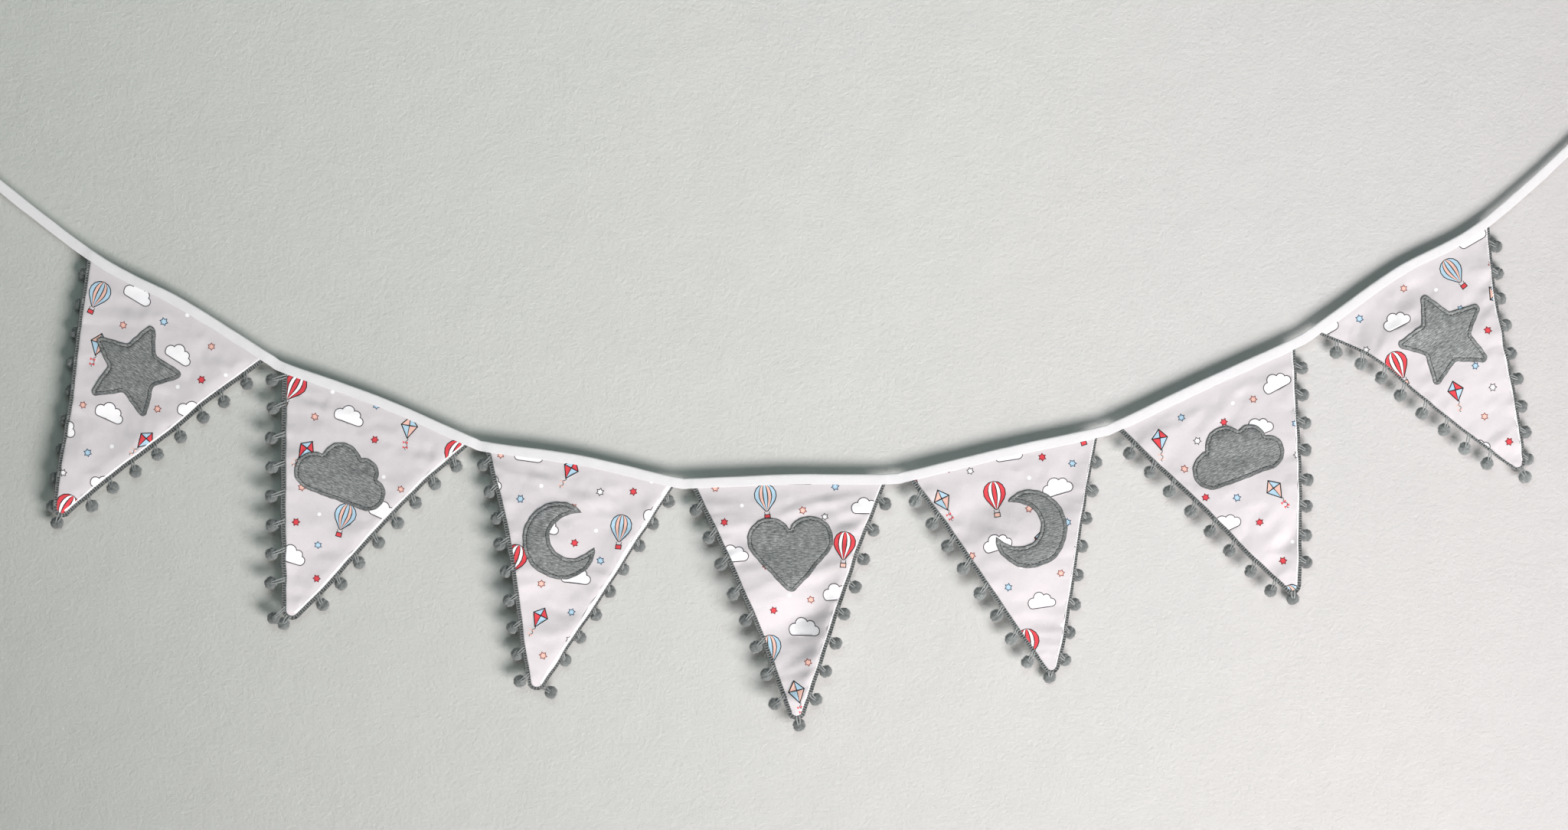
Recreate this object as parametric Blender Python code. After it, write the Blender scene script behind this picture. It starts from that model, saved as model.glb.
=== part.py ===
"""Fabric bunting: seven lined pennants that hang from a folded tape.

Each pennant has a printed front, a plain back, a jersey patch and one length of pompom braid round
its two long sides. The tape takes the pennants' top edges in its fold and sags between its two ends.

The frame: +X runs to the right along the bunting, +Z is up and +Y points at the wall behind it.
The origin is the top edge of the tape's left end. Sizes in the tables are millimetres. A place on a
pennant is given across it, from its middle line to the right, and down it, from the tape to the tip.
"""

import math
import random

import bmesh
import bpy
from mathutils import Matrix, Vector

MM = 0.001

# Clearances and thicknesses
GAP = 0.35
CLOTH = 1.0
PATCH_CLOTH = 1.2
BRAID_GAP = 0.3
BRAID_THICK = 1.6

# The folded tape
TAPE_WIDTH = 9.0
TAPE_WALL = 1.0
TAPE_FLAT = 2.2
TAPE_STEPS = 52
TAPE_TAPER = 7.0
TUCK = 2.0
SLOT_END = 1.2
TAPE_LEFT = (-2.8, -3.5)
TAPE_RIGHT = (1447.5, 30.0)

# The pompoms
POMPOM_RADIUS = 5.8
POMPOM_CLEAR = 0.4
YARN_RADIUS = 0.75
YARN_SIDES = 3
YARN_SLANT = 4.0
YARN_ROOT = 0.9
JITTER = 0.9
TILT = 0.3
SQUEEZE = (0.85, 0.98)

# The mesh of the cloth: the size of its cells, its steps and the distance that merges two points
CELL = 17.0
TOP_STEPS = 8
SIDE_STEPS = 10
TIP_STEPS = 5
MERGE = 0.6

# The cloth is flat in the tape, and stands out fully this far below the tape's middle line
RAMP_START = 5.5
RAMP_LENGTH = 16.0
TIP_HALF_WIDTH = 6.0

# A pennant's right edge is carried on past the tip by this much where it's measured for its roll
PAST_TIP = 40.0

# How far a patch's outline reaches before and behind the cloth
PATCH_REACH = 60.0

# The least distance between a braid's end and its next cross-line
BRAID_STEP = 3.0


def table(columns, *rows):
    """One dictionary for each row, with the columns' names as its keys."""
    return [dict(zip(columns.split(), row)) for row in rows]


# The sides of a pennant would meet at tip_x, tip_z, and the tip is rounded by tip_r. Its corners lie
# on the tape's middle line, which rises by top_bow between them. The lifts bring the left side, the
# right side and the tip towards the viewer.
PENNANTS = table(
    "left_x left_z right_x right_z tip_x tip_z tip_r top_bow left_lift right_lift tip_lift",
    (117.5, -96.5, 269.5, -184.5, 86.0, -328.5, 5.0, 3.0, 4.0, 1.0, -1.0),
    (289.0, -195.5, 448.0, -258.5, 288.0, -419.0, 5.0, 3.0, 6.0, 1.0, -1.0),
    (465.5, -264.0, 627.5, -294.5, 504.5, -482.5, 5.0, 3.5, 9.0, 0.0, 0.0),
    (645.5, -295.5, 811.0, -292.0, 735.0, -508.0, 5.5, 1.7, 10.0, 5.0, 3.0),
    (835.5, -288.5, 996.5, -251.5, 960.0, -465.5, 4.0, 1.0, 4.0, 3.0, -1.0),
    (1017.0, -244.5, 1168.5, -174.0, 1173.0, -395.5, 4.5, 0.7, 5.0, 5.0, 1.0),
    (1189.5, -161.5, 1338.5, -67.5, 1371.5, -287.5, 5.0, 4.5, 3.0, 5.0, 0.0),
)

# How far a long side bows outwards from straight at its quarter points, how much of its braid shows,
# and its pompoms: how many, where the first and the last hang along the side, and how far out.
SIDES = table(
    "pennant side bow_1 bow_2 bow_3 braid count first last reach",
    (1, "left", 0.0, -1.5, 0.0, 2.6, 9, 17.0, 222.0, 4.2),
    (1, "right", -2.5, -1.0, -2.0, 3.4, 8, 27.5, 200.0, 11.0),
    (2, "left", 0.0, 0.0, 0.0, 4.2, 9, 9.0, 212.5, 12.6),
    (2, "right", -4.0, -3.5, -0.5, 2.8, 8, 23.0, 193.0, 9.3),
    (3, "left", -4.0, -4.5, -1.5, 3.6, 9, 14.0, 206.5, 9.0),
    (3, "right", 0.0, 0.5, 0.0, 1.6, 8, 17.5, 183.5, 4.6),
    (4, "left", -3.0, -4.5, -3.0, 3.6, 8, 22.0, 205.5, 10.2),
    (4, "right", -2.5, -2.0, -1.0, 2.8, 8, 20.0, 201.5, 9.0),
    (5, "left", -1.5, -0.5, 0.5, 4.0, 8, 19.5, 191.5, 11.0),
    (5, "right", -1.0, -0.5, 1.0, 1.8, 8, 25.0, 201.0, 6.0),
    (6, "left", 0.0, -0.5, 1.0, 4.0, 8, 23.0, 195.5, 11.4),
    (6, "right", 1.0, 2.0, 1.5, 2.0, 8, 20.5, 191.0, 7.9),
    (7, "left", -9.5, -4.5, -1.5, 2.4, 8, 24.0, 191.0, 12.2),
    (7, "right", -4.0, -3.0, 0.0, 1.8, 9, 21.5, 210.5, 6.5),
)

# The pompom at each tip: where it hangs, across and down from the lowest point of the rounded tip.
TIP_POMPOMS = table(
    "pennant across down",
    (1, 1.5, 9.5),
    (2, -3.0, 9.0),
    (3, 13.5, 1.5),
    (4, 1.5, 8.5),
    (5, -3.0, 6.0),
    (6, -3.5, 7.0),
    (7, -1.0, 10.0),
)

# Folds in the cloth: the middle of each, the direction in which it runs in degrees from across the
# pennant, how long and how wide it is, and how far it stands towards the viewer. Troughs are negative.
FOLDS = table(
    "pennant across down turn length width height",
    (1, -22, 60, 75, 45, 16, 2.0),
    (1, 24, 92, 60, 55, 18, -1.8),
    (1, -12, 150, 80, 40, 14, 1.8),
    (2, -38, 55, 85, 60, 18, 1.6),
    (2, 30, 62, 8, 45, 13, 2.0),
    (2, 22, 92, 12, 40, 13, -1.6),
    (2, -8, 150, 70, 36, 13, -1.8),
    (3, 34, 50, 60, 55, 16, -2.6),
    (3, -30, 96, 82, 48, 15, 2.0),
    (3, 4, 124, 14, 30, 14, -2.6),
    (3, 6, 155, 4, 28, 14, 4.2),
    (4, -46, 36, 4, 30, 9, 2.2),
    (4, -42, 56, 2, 26, 8, -1.8),
    (4, -12, 92, 8, 52, 22, 4.6),
    (4, 2, 120, 38, 50, 19, -9.5),
    (4, 2, 190, 6, 28, 22, 5.0),
    (5, -34, 42, 14, 36, 12, -1.8),
    (5, -24, 68, 12, 34, 12, 1.8),
    (5, 52, 30, 62, 34, 12, -2.4),
    (5, 4, 82, 6, 70, 36, 4.6),
    (5, 6, 172, -14, 22, 9, 2.2),
    (6, -50, 22, 40, 26, 11, 2.0),
    (6, 28, 60, -18, 36, 12, 1.6),
    (6, 30, 84, -20, 34, 12, -1.6),
    (6, 0, 92, -6, 66, 34, 3.0),
    (6, 8, 156, 40, 26, 9, -3.6),
    (7, -62, 20, 44, 30, 11, -3.0),
    (7, -30, 44, 4, 46, 17, 4.8),
    (7, 10, 100, 4, 60, 36, 3.6),
    (7, 8, 22, 76, 34, 12, -3.0),
    (7, 2, 172, 0, 18, 9, 2.0),
)

# Right edges that roll back to the wall: how far in the roll starts and how far the edge goes back.
ROLLS = table(
    "pennant width back",
    (1, 11.0, 3.0),
    (2, 8.0, 2.2),
    (3, 9.0, 2.8),
    (4, 7.0, 1.8),
)

# The patches: their shape, where its middle lies on the pennant, its height and how far it is turned
# from upright on the pennant, in degrees anticlockwise.
PATCHES = table(
    "pennant shape across down size turn",
    (1, "star", -6.0, 66.0, 78.0, 6.0),
    (2, "cloud", -3.0, 66.0, 50.0, 2.0),
    (3, "moon", 0.0, 66.0, 72.0, 32.0),
    (4, "heart", -1.0, 64.0, 66.0, 0.0),
    (5, "moon", 3.0, 66.0, 72.0, 148.0),
    (6, "cloud", 1.0, 64.0, 50.0, -3.0),
    (7, "star", 3.0, 64.0, 78.0, -6.0),
)

# Each finish: its colour, its roughness and how much soft sheen it has.
FINISHES = {
    "printed_cotton": ((0.60, 0.58, 0.59, 1.0), 0.85, 0.2),
    "plain_cotton": ((0.83, 0.82, 0.82, 1.0), 0.85, 0.2),
    "tape_cotton": ((0.86, 0.85, 0.85, 1.0), 0.8, 0.2),
    "pompom_yarn": ((0.075, 0.09, 0.095, 1.0), 0.95, 0.4),
    "marl_jersey": ((0.20, 0.21, 0.21, 1.0), 0.95, 0.3),
}


def smoothstep(value):
    t = min(1.0, max(0.0, value))
    return t * t * (3.0 - 2.0 * t)


def catmull_rom(p0, p1, p2, p3, t):
    """The point at t between p1 and p2 on a smooth curve through all four."""
    return 0.5 * (
        2 * p1 + (p2 - p0) * t + (2 * p0 - 5 * p1 + 4 * p2 - p3) * t**2 + (3 * p1 - p0 - 3 * p2 + p3) * t**3
    )


def smooth_value(values, share):
    """The value at a share from 0 to 1 of a smooth curve through evenly spaced values."""
    padded = [2 * values[0] - values[1], *values, 2 * values[-1] - values[-2]]
    spans = len(values) - 1
    index = min(int(share * spans), spans - 1)
    return catmull_rom(*padded[index : index + 4], share * spans - index)


def smooth_route(points, steps):
    """A smooth line through the points, with the same number of steps between each two of them."""
    padded = [2 * points[0] - points[1], *points, 2 * points[-1] - points[-2]]
    route = []
    for index in range(len(points) - 1):
        for step in range(steps):
            route.append(catmull_rom(*padded[index : index + 4], step / steps))
    return [*route, points[-1]]


def lengths_along(route):
    """How far along the route each of its points lies."""
    lengths = [0.0]
    for start, end in zip(route, route[1:]):
        lengths.append(lengths[-1] + (end - start).length)
    return lengths


def point_along(route, lengths, distance):
    """The place at a distance along a route and the direction in which the route runs there."""
    index = 1
    while index < len(lengths) - 1 and lengths[index] < distance:
        index += 1
    start, end = route[index - 1], route[index]
    share = (distance - lengths[index - 1]) / (lengths[index] - lengths[index - 1])
    return start.lerp(end, share), (end - start).normalized()


def inset_from(point, route):
    """How far a point is from a route that has it on its left. On the route's right this is 0."""
    found = None
    for start, end in zip(route, route[1:]):
        step = end - start
        share = min(1.0, max(0.0, (point - start).dot(step) / step.length_squared))
        offset = point - start - step * share
        if found is None or offset.length < found[0]:
            found = (offset.length, step.x * offset.y - step.y * offset.x > 0)
    return found[0] if found[1] else 0.0


def tape_points():
    """The points that the middle line of the tape goes through."""
    points = [Vector(TAPE_LEFT)]
    for row in PENNANTS:
        left = Vector((row["left_x"], row["left_z"]))
        right = Vector((row["right_x"], row["right_z"]))
        upwards = Vector((left.y - right.y, right.x - left.x)).normalized()
        points += [left, (left + right) / 2 + upwards * row["top_bow"], right]
    return [*points, Vector(TAPE_RIGHT)]


TAPE_ROUTE = smooth_route(tape_points(), 8)
TAPE_LENGTHS = lengths_along(TAPE_ROUTE)


def tape_at(x):
    """The tape's middle line above or below x, and its upward direction there."""
    index = 1
    while index < len(TAPE_ROUTE) - 1 and TAPE_ROUTE[index].x < x:
        index += 1
    start, end = TAPE_ROUTE[index - 1], TAPE_ROUTE[index]
    share = (x - start.x) / (end.x - start.x)
    run = (end - start).normalized()
    return start.lerp(end, share), Vector((-run.y, run.x))


def below_tape(point):
    """How far a point lies below the tape's middle line."""
    middle, upwards = tape_at(point.x)
    return (middle - point).dot(upwards)


class Pennant:
    """The shape of one pennant: its outline, its own directions and how far each place stands out."""

    def __init__(self, number):
        self.number = number
        self.size = PENNANTS[number - 1]
        self.left = Vector((self.size["left_x"], self.size["left_z"]))
        self.right = Vector((self.size["right_x"], self.size["right_z"]))
        self.tip = Vector((self.size["tip_x"], self.size["tip_z"]))
        self.top = (self.left + self.right) / 2
        self.down = (self.tip - self.top).normalized()
        self.across = Vector((-self.down.y, self.down.x))
        self.length = (self.tip - self.top).length
        self.half_width = (self.right - self.left).length / 2
        self.sides = {row["side"]: row for row in SIDES if row["pennant"] == number}
        self.folds = [row for row in FOLDS if row["pennant"] == number]
        self.rolls = [row for row in ROLLS if row["pennant"] == number]
        self.patch = next(row for row in PATCHES if row["pennant"] == number)
        self.route = self.side_route()
        self.lengths = lengths_along(self.route)

    def side_points(self, side, corner, cut, steps):
        """Points down one long side, from the tape to where the rounded tip begins."""
        run = self.tip - corner
        outwards = Vector((run.y, -run.x)).normalized()
        if side == "right":
            outwards.negate()
        bows = [0.0, *(self.sides[side][name] for name in ("bow_1", "bow_2", "bow_3")), 0.0]
        points = []
        for step in range(steps + 1):
            share = step / steps * (1 - cut / run.length)
            points.append(corner + run * share + outwards * smooth_value(bows, share))
        return points

    def side_route(self, steps=SIDE_STEPS, tip_steps=TIP_STEPS):
        """The line down the left side, round the tip and up the right side."""
        to_left = (self.left - self.tip).normalized()
        to_right = (self.right - self.tip).normalized()
        half_angle = to_left.angle(to_right) / 2
        radius = self.size["tip_r"]
        cut = radius / math.tan(half_angle)
        left = self.side_points("left", self.left, cut, steps)
        right = self.side_points("right", self.right, cut, steps)[::-1]
        past_tip = (right[0] - right[1]).normalized() * PAST_TIP
        self.right_line = [right[0] + past_tip, *right]
        centre = self.tip + (to_left + to_right).normalized() * radius / math.sin(half_angle)
        start = left[-1] - centre
        turn = math.pi - 2 * half_angle
        arc = []
        for step in range(1, tip_steps):
            angle = turn * step / tip_steps
            spin = Matrix.Rotation(angle, 2)
            arc.append(centre + (spin @ start).normalized() * radius)
        return left + arc + right

    def outline(self):
        """The cloth's outline: the two sides and the top edge, which is tucked into the tape."""
        points = list(self.route)
        top = []
        for step in range(TOP_STEPS + 1):
            x = self.right.x + (self.left.x - self.right.x) * step / TOP_STEPS
            middle, upwards = tape_at(x)
            top.append(middle + upwards * TUCK)
        return points + top

    def local(self, point):
        """How far across and down the pennant a point lies."""
        offset = point - self.top
        return offset.dot(self.across), offset.dot(self.down)

    def place(self, across, down):
        return self.top + self.across * across + self.down * down

    def stands_out(self, point):
        """How far the cloth's middle stands towards the viewer at a point."""
        across, down = self.local(point)
        share_down = min(1.0, max(0.0, down / self.length))
        half_width = max(TIP_HALF_WIDTH, self.half_width * (1 - share_down))
        share_right = min(1.0, max(0.0, 0.5 + 0.5 * across / half_width))
        side_lift = self.size["left_lift"] * (1 - share_right) ** 2 + self.size["right_lift"] * share_right**2
        out = 4 * share_down * (1 - share_down) * side_lift + self.size["tip_lift"] * share_down**1.5
        for fold in self.folds:
            angle = math.radians(fold["turn"])
            right, below = across - fold["across"], down - fold["down"]
            along = right * math.cos(angle) - below * math.sin(angle)
            aside = right * math.sin(angle) + below * math.cos(angle)
            out += fold["height"] * math.exp(-((along / fold["length"]) ** 2) - (aside / fold["width"]) ** 2)
        for row in self.rolls:
            inset = inset_from(point, self.right_line)
            out -= row["back"] * max(0.0, 1 - inset / row["width"]) ** 2
        return out * smoothstep((below_tape(point) - RAMP_START) / RAMP_LENGTH)

    def patch_outline(self):
        """The patch's outline on this pennant."""
        centre = self.place(self.patch["across"], self.patch["down"])
        turn = Matrix.Rotation(math.radians(self.patch["turn"]), 2)
        upwards = -self.down
        points = []
        for point in PATCH_SHAPES[self.patch["shape"]]():
            right, up = turn @ point * self.patch["size"]
            points.append(centre + self.across * right + upwards * up)
        return points


def arc(centre, radius, start, end, steps):
    """Points on an arc that turns anticlockwise from one angle to the other."""
    turn = (end - start) % (2 * math.pi)
    angles = [start + turn * step / steps for step in range(steps + 1)]
    return [centre + Vector((math.cos(angle), math.sin(angle))) * radius for angle in angles]


def outline_round(circles, steps):
    """The outline of circles in a ring, anticlockwise. Two that cross meet in a notch, and two that
    don't are joined by a straight line that touches both."""
    leaves, enters = [], []
    for (x0, y0, r0), (x1, y1, r1) in zip(circles, circles[1:] + circles[:1]):
        run = Vector((x1 - x0, y1 - y0))
        heading = math.atan2(run.y, run.x)
        if run.length < r0 + r1 and abs(r0 - r1) < run.length:
            first = math.acos((run.length_squared + r0**2 - r1**2) / (2 * run.length * r0))
            second = math.acos((run.length_squared + r1**2 - r0**2) / (2 * run.length * r1))
            leaves.append(heading - first)
            enters.append(heading + math.pi + second)
        else:
            touch = heading - math.acos((r0 - r1) / run.length)
            leaves.append(touch)
            enters.append(touch)
    points = []
    for index, (x, y, radius) in enumerate(circles):
        points += arc(Vector((x, y)), radius, enters[index - 1], leaves[index], steps)
    return points


def rounded(corners, radius, steps):
    """A polygon, anticlockwise, with its corners rounded."""
    points = []
    for before, corner, after in zip(corners[-1:] + corners[:-1], corners, corners[1:] + corners[:1]):
        to_before = (before - corner).normalized()
        to_after = (after - corner).normalized()
        half = to_before.angle(to_after) / 2
        centre = corner + (to_before + to_after).normalized() * radius / math.sin(half)
        start = corner + to_before * radius / math.tan(half) - centre
        turn = math.pi - 2 * half
        if to_before.x * to_after.y - to_before.y * to_after.x > 0:
            turn = -turn
        for step in range(steps + 1):
            points.append(centre + Matrix.Rotation(turn * step / steps, 2) @ start)
    return points


def star_shape():
    """A five-pointed star one unit high with rounded points."""
    corners = []
    for step in range(10):
        angle = math.pi / 2 + 2 * math.pi * step / 10
        radius = 0.29 if step % 2 else 0.6
        corners.append(Vector((math.cos(angle), math.sin(angle) - 0.04)) * radius)
    return rounded(corners, 0.05, 3)


def cloud_shape():
    """A cloud of four puffs on a flat bottom, one unit high."""
    puffs = [(0.5, -0.2, 0.3), (0.3, 0.1, 0.27), (-0.14, 0.14, 0.36), (-0.52, -0.16, 0.34)]
    return outline_round(puffs, 8)


def heart_shape():
    """A heart one unit high with a rounded point."""
    return outline_round([(0.0, -0.41, 0.09), (0.27, 0.2, 0.3), (-0.27, 0.2, 0.3)], 9)


def moon_shape():
    """A crescent one unit high with blunt horns, open to the right."""
    middle_radius, half_width, horn = 0.36, 0.165, math.radians(38)
    outer, inner = [], []
    steps = 22
    for step in range(steps + 1):
        share = step / steps
        angle = horn + (2 * math.pi - 2 * horn) * share
        half = half_width * (4 * share * (1 - share)) ** 0.8
        spoke = Vector((math.cos(angle), math.sin(angle)))
        outer.append(spoke * (middle_radius + half))
        inner.append(spoke * (middle_radius - half))
    return outer + inner[-2:0:-1]


PATCH_SHAPES = {"star": star_shape, "cloud": cloud_shape, "heart": heart_shape, "moon": moon_shape}


def clear_scene():
    for obj in list(bpy.data.objects):
        bpy.data.objects.remove(obj)


def new_collection(name):
    collection = bpy.data.collections.new(name)
    bpy.context.scene.collection.children.link(collection)
    return collection


def make_material(name):
    colour, roughness, sheen = FINISHES[name]
    material = bpy.data.materials.new(name)
    material.use_nodes = True
    shader = material.node_tree.nodes["Principled BSDF"]
    shader.inputs["Base Color"].default_value = colour
    shader.inputs["Roughness"].default_value = roughness
    shader.inputs["Metallic"].default_value = 0.0
    shader.inputs["Sheen Weight"].default_value = sheen
    return material


def object_from(bm, name, collection, material=None):
    """A new object that holds the mesh, with its faces pointing out."""
    bmesh.ops.recalc_face_normals(bm, faces=bm.faces)
    mesh = bpy.data.meshes.new(name)
    bm.to_mesh(mesh)
    bm.free()
    obj = bpy.data.objects.new(name, mesh)
    collection.objects.link(obj)
    if material:
        mesh.materials.append(material)
    return obj


def hide(obj):
    """Keeps a cutter out of the model."""
    obj.hide_render = True
    obj.display_type = "WIRE"
    return obj


def add_boolean(obj, other, operation):
    modifier = obj.modifiers.new(operation.lower(), "BOOLEAN")
    modifier.operation = operation
    modifier.object = other
    modifier.solver = "EXACT"


def thicken(bm, depths):
    """Turns a flat face into a sheet. depths gives the front and the back of a point, in mm along +Y."""
    bmesh.ops.triangulate(bm, faces=bm.faces)
    front_points = list(bm.verts)
    made = bmesh.ops.extrude_face_region(bm, geom=list(bm.faces), use_keep_orig=True)
    back_points = [item for item in made["geom"] if isinstance(item, bmesh.types.BMVert)]
    for points, index in ((front_points, 0), (back_points, 1)):
        for vert in points:
            place = Vector((vert.co.x, vert.co.z)) / MM
            vert.co.y = depths(place)[index] * MM


def sheet_mesh(pennant, outline, front, back):
    """A sheet with this outline that follows the pennant's folds, from front to back in mm along +Y."""
    bm = bmesh.new()
    bm.faces.new([bm.verts.new((point.x * MM, 0.0, point.y * MM)) for point in outline])
    reach = int(pennant.length / CELL) + 1
    lines = [(pennant.down, CELL * (step + 0.45)) for step in range(reach)]
    lines += [(pennant.across, CELL * (step + 0.5)) for step in range(-reach, reach)]
    for direction, distance in lines:
        place = pennant.top + direction * distance
        bmesh.ops.bisect_plane(
            bm,
            geom=[*bm.verts, *bm.edges, *bm.faces],
            dist=1e-6,
            plane_co=(place.x * MM, 0.0, place.y * MM),
            plane_no=(direction.x, 0.0, direction.y),
        )
    bmesh.ops.remove_doubles(bm, verts=bm.verts, dist=MERGE * MM)

    def depths(point):
        out = pennant.stands_out(point)
        return front - out, back - out

    thicken(bm, depths)
    return bm


def make_panels(pennant, collection, materials):
    """The printed front and the plain back, one behind the other."""
    outline = pennant.outline()
    name = f"pennant_{pennant.number}"
    front = sheet_mesh(pennant, outline, -GAP / 2 - CLOTH, -GAP / 2)
    object_from(front, f"{name}_front", collection, materials["printed_cotton"])
    back = sheet_mesh(pennant, outline, GAP / 2, GAP / 2 + CLOTH)
    object_from(back, f"{name}_back", collection, materials["plain_cotton"])


def make_patch(pennant, collection, cutters, materials):
    """The jersey patch: a layer that follows the front's folds, cut to the patch's outline."""
    back = -GAP / 2 - CLOTH - GAP
    bm = sheet_mesh(pennant, pennant.outline(), back - PATCH_CLOTH, back)
    patch = object_from(bm, f"pennant_{pennant.number}_patch", collection, materials["marl_jersey"])
    cutter = bmesh.new()
    points = [(point.x * MM, -PATCH_REACH * MM, point.y * MM) for point in pennant.patch_outline()]
    face = cutter.faces.new([cutter.verts.new(point) for point in points])
    made = bmesh.ops.extrude_face_region(cutter, geom=[face], use_keep_orig=True)
    for item in made["geom"]:
        if isinstance(item, bmesh.types.BMVert):
            item.co.y = PATCH_REACH * MM
    outline = object_from(cutter, f"pennant_{pennant.number}_patch_outline", cutters)
    add_boolean(patch, hide(outline), "INTERSECT")


def ribbon(stations):
    """A flat ribbon in the XZ plane. Each station is the two ends of one cross-line, in mm."""
    bm = bmesh.new()
    bmesh.ops.create_grid(bm, x_segments=len(stations) - 1, y_segments=1, size=0.5)
    order = sorted(bm.verts, key=lambda vert: (round(vert.co.x, 6), vert.co.y))
    for index, (low, high) in enumerate(stations):
        for vert, point in zip(order[2 * index : 2 * index + 2], (low, high)):
            vert.co = (point.x * MM, 0.0, point.y * MM)
    return bm


def braid_stations(pennant):
    """The inner and outer edge of the braid, from under the tape round the tip and back up."""
    route, lengths = pennant.route, pennant.lengths
    whole = lengths[-1]
    widths = [pennant.sides[side]["braid"] for side in ("left", "right")]

    def edges(distance):
        place, run = point_along(route, lengths, distance)
        outwards = Vector((run.y, -run.x))
        width = widths[0] + (widths[1] - widths[0]) * smoothstep(distance / whole)
        return place + outwards * BRAID_GAP, place + outwards * (BRAID_GAP + width)

    def clear_of_tape(distance):
        return min(below_tape(point) for point in edges(distance)) > TAPE_WIDTH / 2 + GAP

    start = next(step / 4 for step in range(200) if clear_of_tape(step / 4))
    end = next(whole - step / 4 for step in range(200) if clear_of_tape(whole - step / 4))
    inner_places = [length for length in lengths if start + BRAID_STEP < length < end - BRAID_STEP]
    return start, end, [edges(distance) for distance in (start, *inner_places, end)]


def pompom_places(pennant):
    """For each pompom: its middle, how far it is from the cloth and where its yarn starts on the braid."""
    rng = random.Random(pennant.number)
    whole = pennant.lengths[-1]
    places = []
    for side, to_tip in (("left", 1), ("right", -1)):
        row = pennant.sides[side]
        for index in range(row["count"]):
            down = row["first"] + (row["last"] - row["first"]) * index / (row["count"] - 1)
            distance = down if side == "left" else whole - down
            distance += rng.uniform(-JITTER, JITTER)
            reach = row["reach"] + rng.uniform(-JITTER, JITTER)
            place, run = point_along(pennant.route, pennant.lengths, distance)
            places.append((place + Vector((run.y, -run.x)) * reach, reach, distance - to_tip * YARN_SLANT))
    offset = TIP_POMPOMS[pennant.number - 1]
    lowest = pennant.place(0.0, max(pennant.local(point)[1] for point in pennant.route))
    centre = lowest + pennant.across * offset["across"] + pennant.down * offset["down"]
    nearest = min(range(len(pennant.route)), key=lambda index: (pennant.route[index] - centre).length)
    reach = (pennant.route[nearest] - centre).length
    places.append((centre, reach, pennant.lengths[nearest]))
    return places


def add_ball(bm, centre, radius, turn, squeeze):
    matrix = Matrix.Translation(centre) @ turn @ Matrix.Diagonal((1.0, squeeze, 1.0, 1.0))
    bmesh.ops.create_icosphere(bm, subdivisions=1, radius=radius, matrix=matrix)


def add_yarn(bm, start, end, radius):
    run = end - start
    matrix = Matrix.Translation((start + end) / 2) @ run.to_track_quat("Z", "Y").to_matrix().to_4x4()
    bmesh.ops.create_cone(
        bm,
        cap_ends=True,
        segments=YARN_SIDES,
        radius1=radius,
        radius2=radius,
        depth=run.length,
        matrix=matrix,
    )


def make_trim(pennant, collection, cutters, materials):
    """The braid round the pennant with its pompoms, each held by its yarn and all one solid."""
    rng = random.Random(pennant.number)
    start, end, stations = braid_stations(pennant)
    bm = ribbon(stations)
    half = BRAID_THICK / 2

    def depths(point):
        out = pennant.stands_out(point)
        return -half - out, half - out

    thicken(bm, depths)
    trim = object_from(bm, f"pennant_{pennant.number}_trim", collection, materials["pompom_yarn"])
    balls, yarns = bmesh.new(), bmesh.new()
    width = max(pennant.sides[side]["braid"] for side in ("left", "right"))
    for place, reach, root in pompom_places(pennant):
        room = POMPOM_RADIUS + POMPOM_CLEAR
        beyond = reach - BRAID_GAP - width
        back = 0.0
        if beyond < room:
            back = half + math.sqrt(room**2 - max(0.0, beyond) ** 2)
        if reach < room:
            back = max(back, GAP / 2 + CLOTH + room)
        depth = back - pennant.stands_out(place)
        root = min(max(root, start + YARN_ROOT), end - YARN_ROOT)
        foot, run = point_along(pennant.route, pennant.lengths, root)
        foot = foot + Vector((run.y, -run.x)) * (BRAID_GAP + YARN_ROOT)
        foot_depth = -pennant.stands_out(foot)
        spin = Matrix.Rotation(rng.uniform(0, math.pi), 4, "Y")
        spin = spin @ Matrix.Rotation(rng.uniform(-TILT, TILT), 4, "X")
        centre = Vector((place.x, depth, place.y)) * MM
        foot = Vector((foot.x, foot_depth, foot.y)) * MM
        add_ball(balls, centre, POMPOM_RADIUS * MM, spin, rng.uniform(*SQUEEZE))
        add_yarn(yarns, foot, centre, YARN_RADIUS * MM)
    for name, mesh in (("yarn", yarns), ("balls", balls)):
        joined = object_from(mesh, f"pennant_{pennant.number}_{name}", cutters)
        add_boolean(trim, hide(joined), "UNION")


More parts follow.
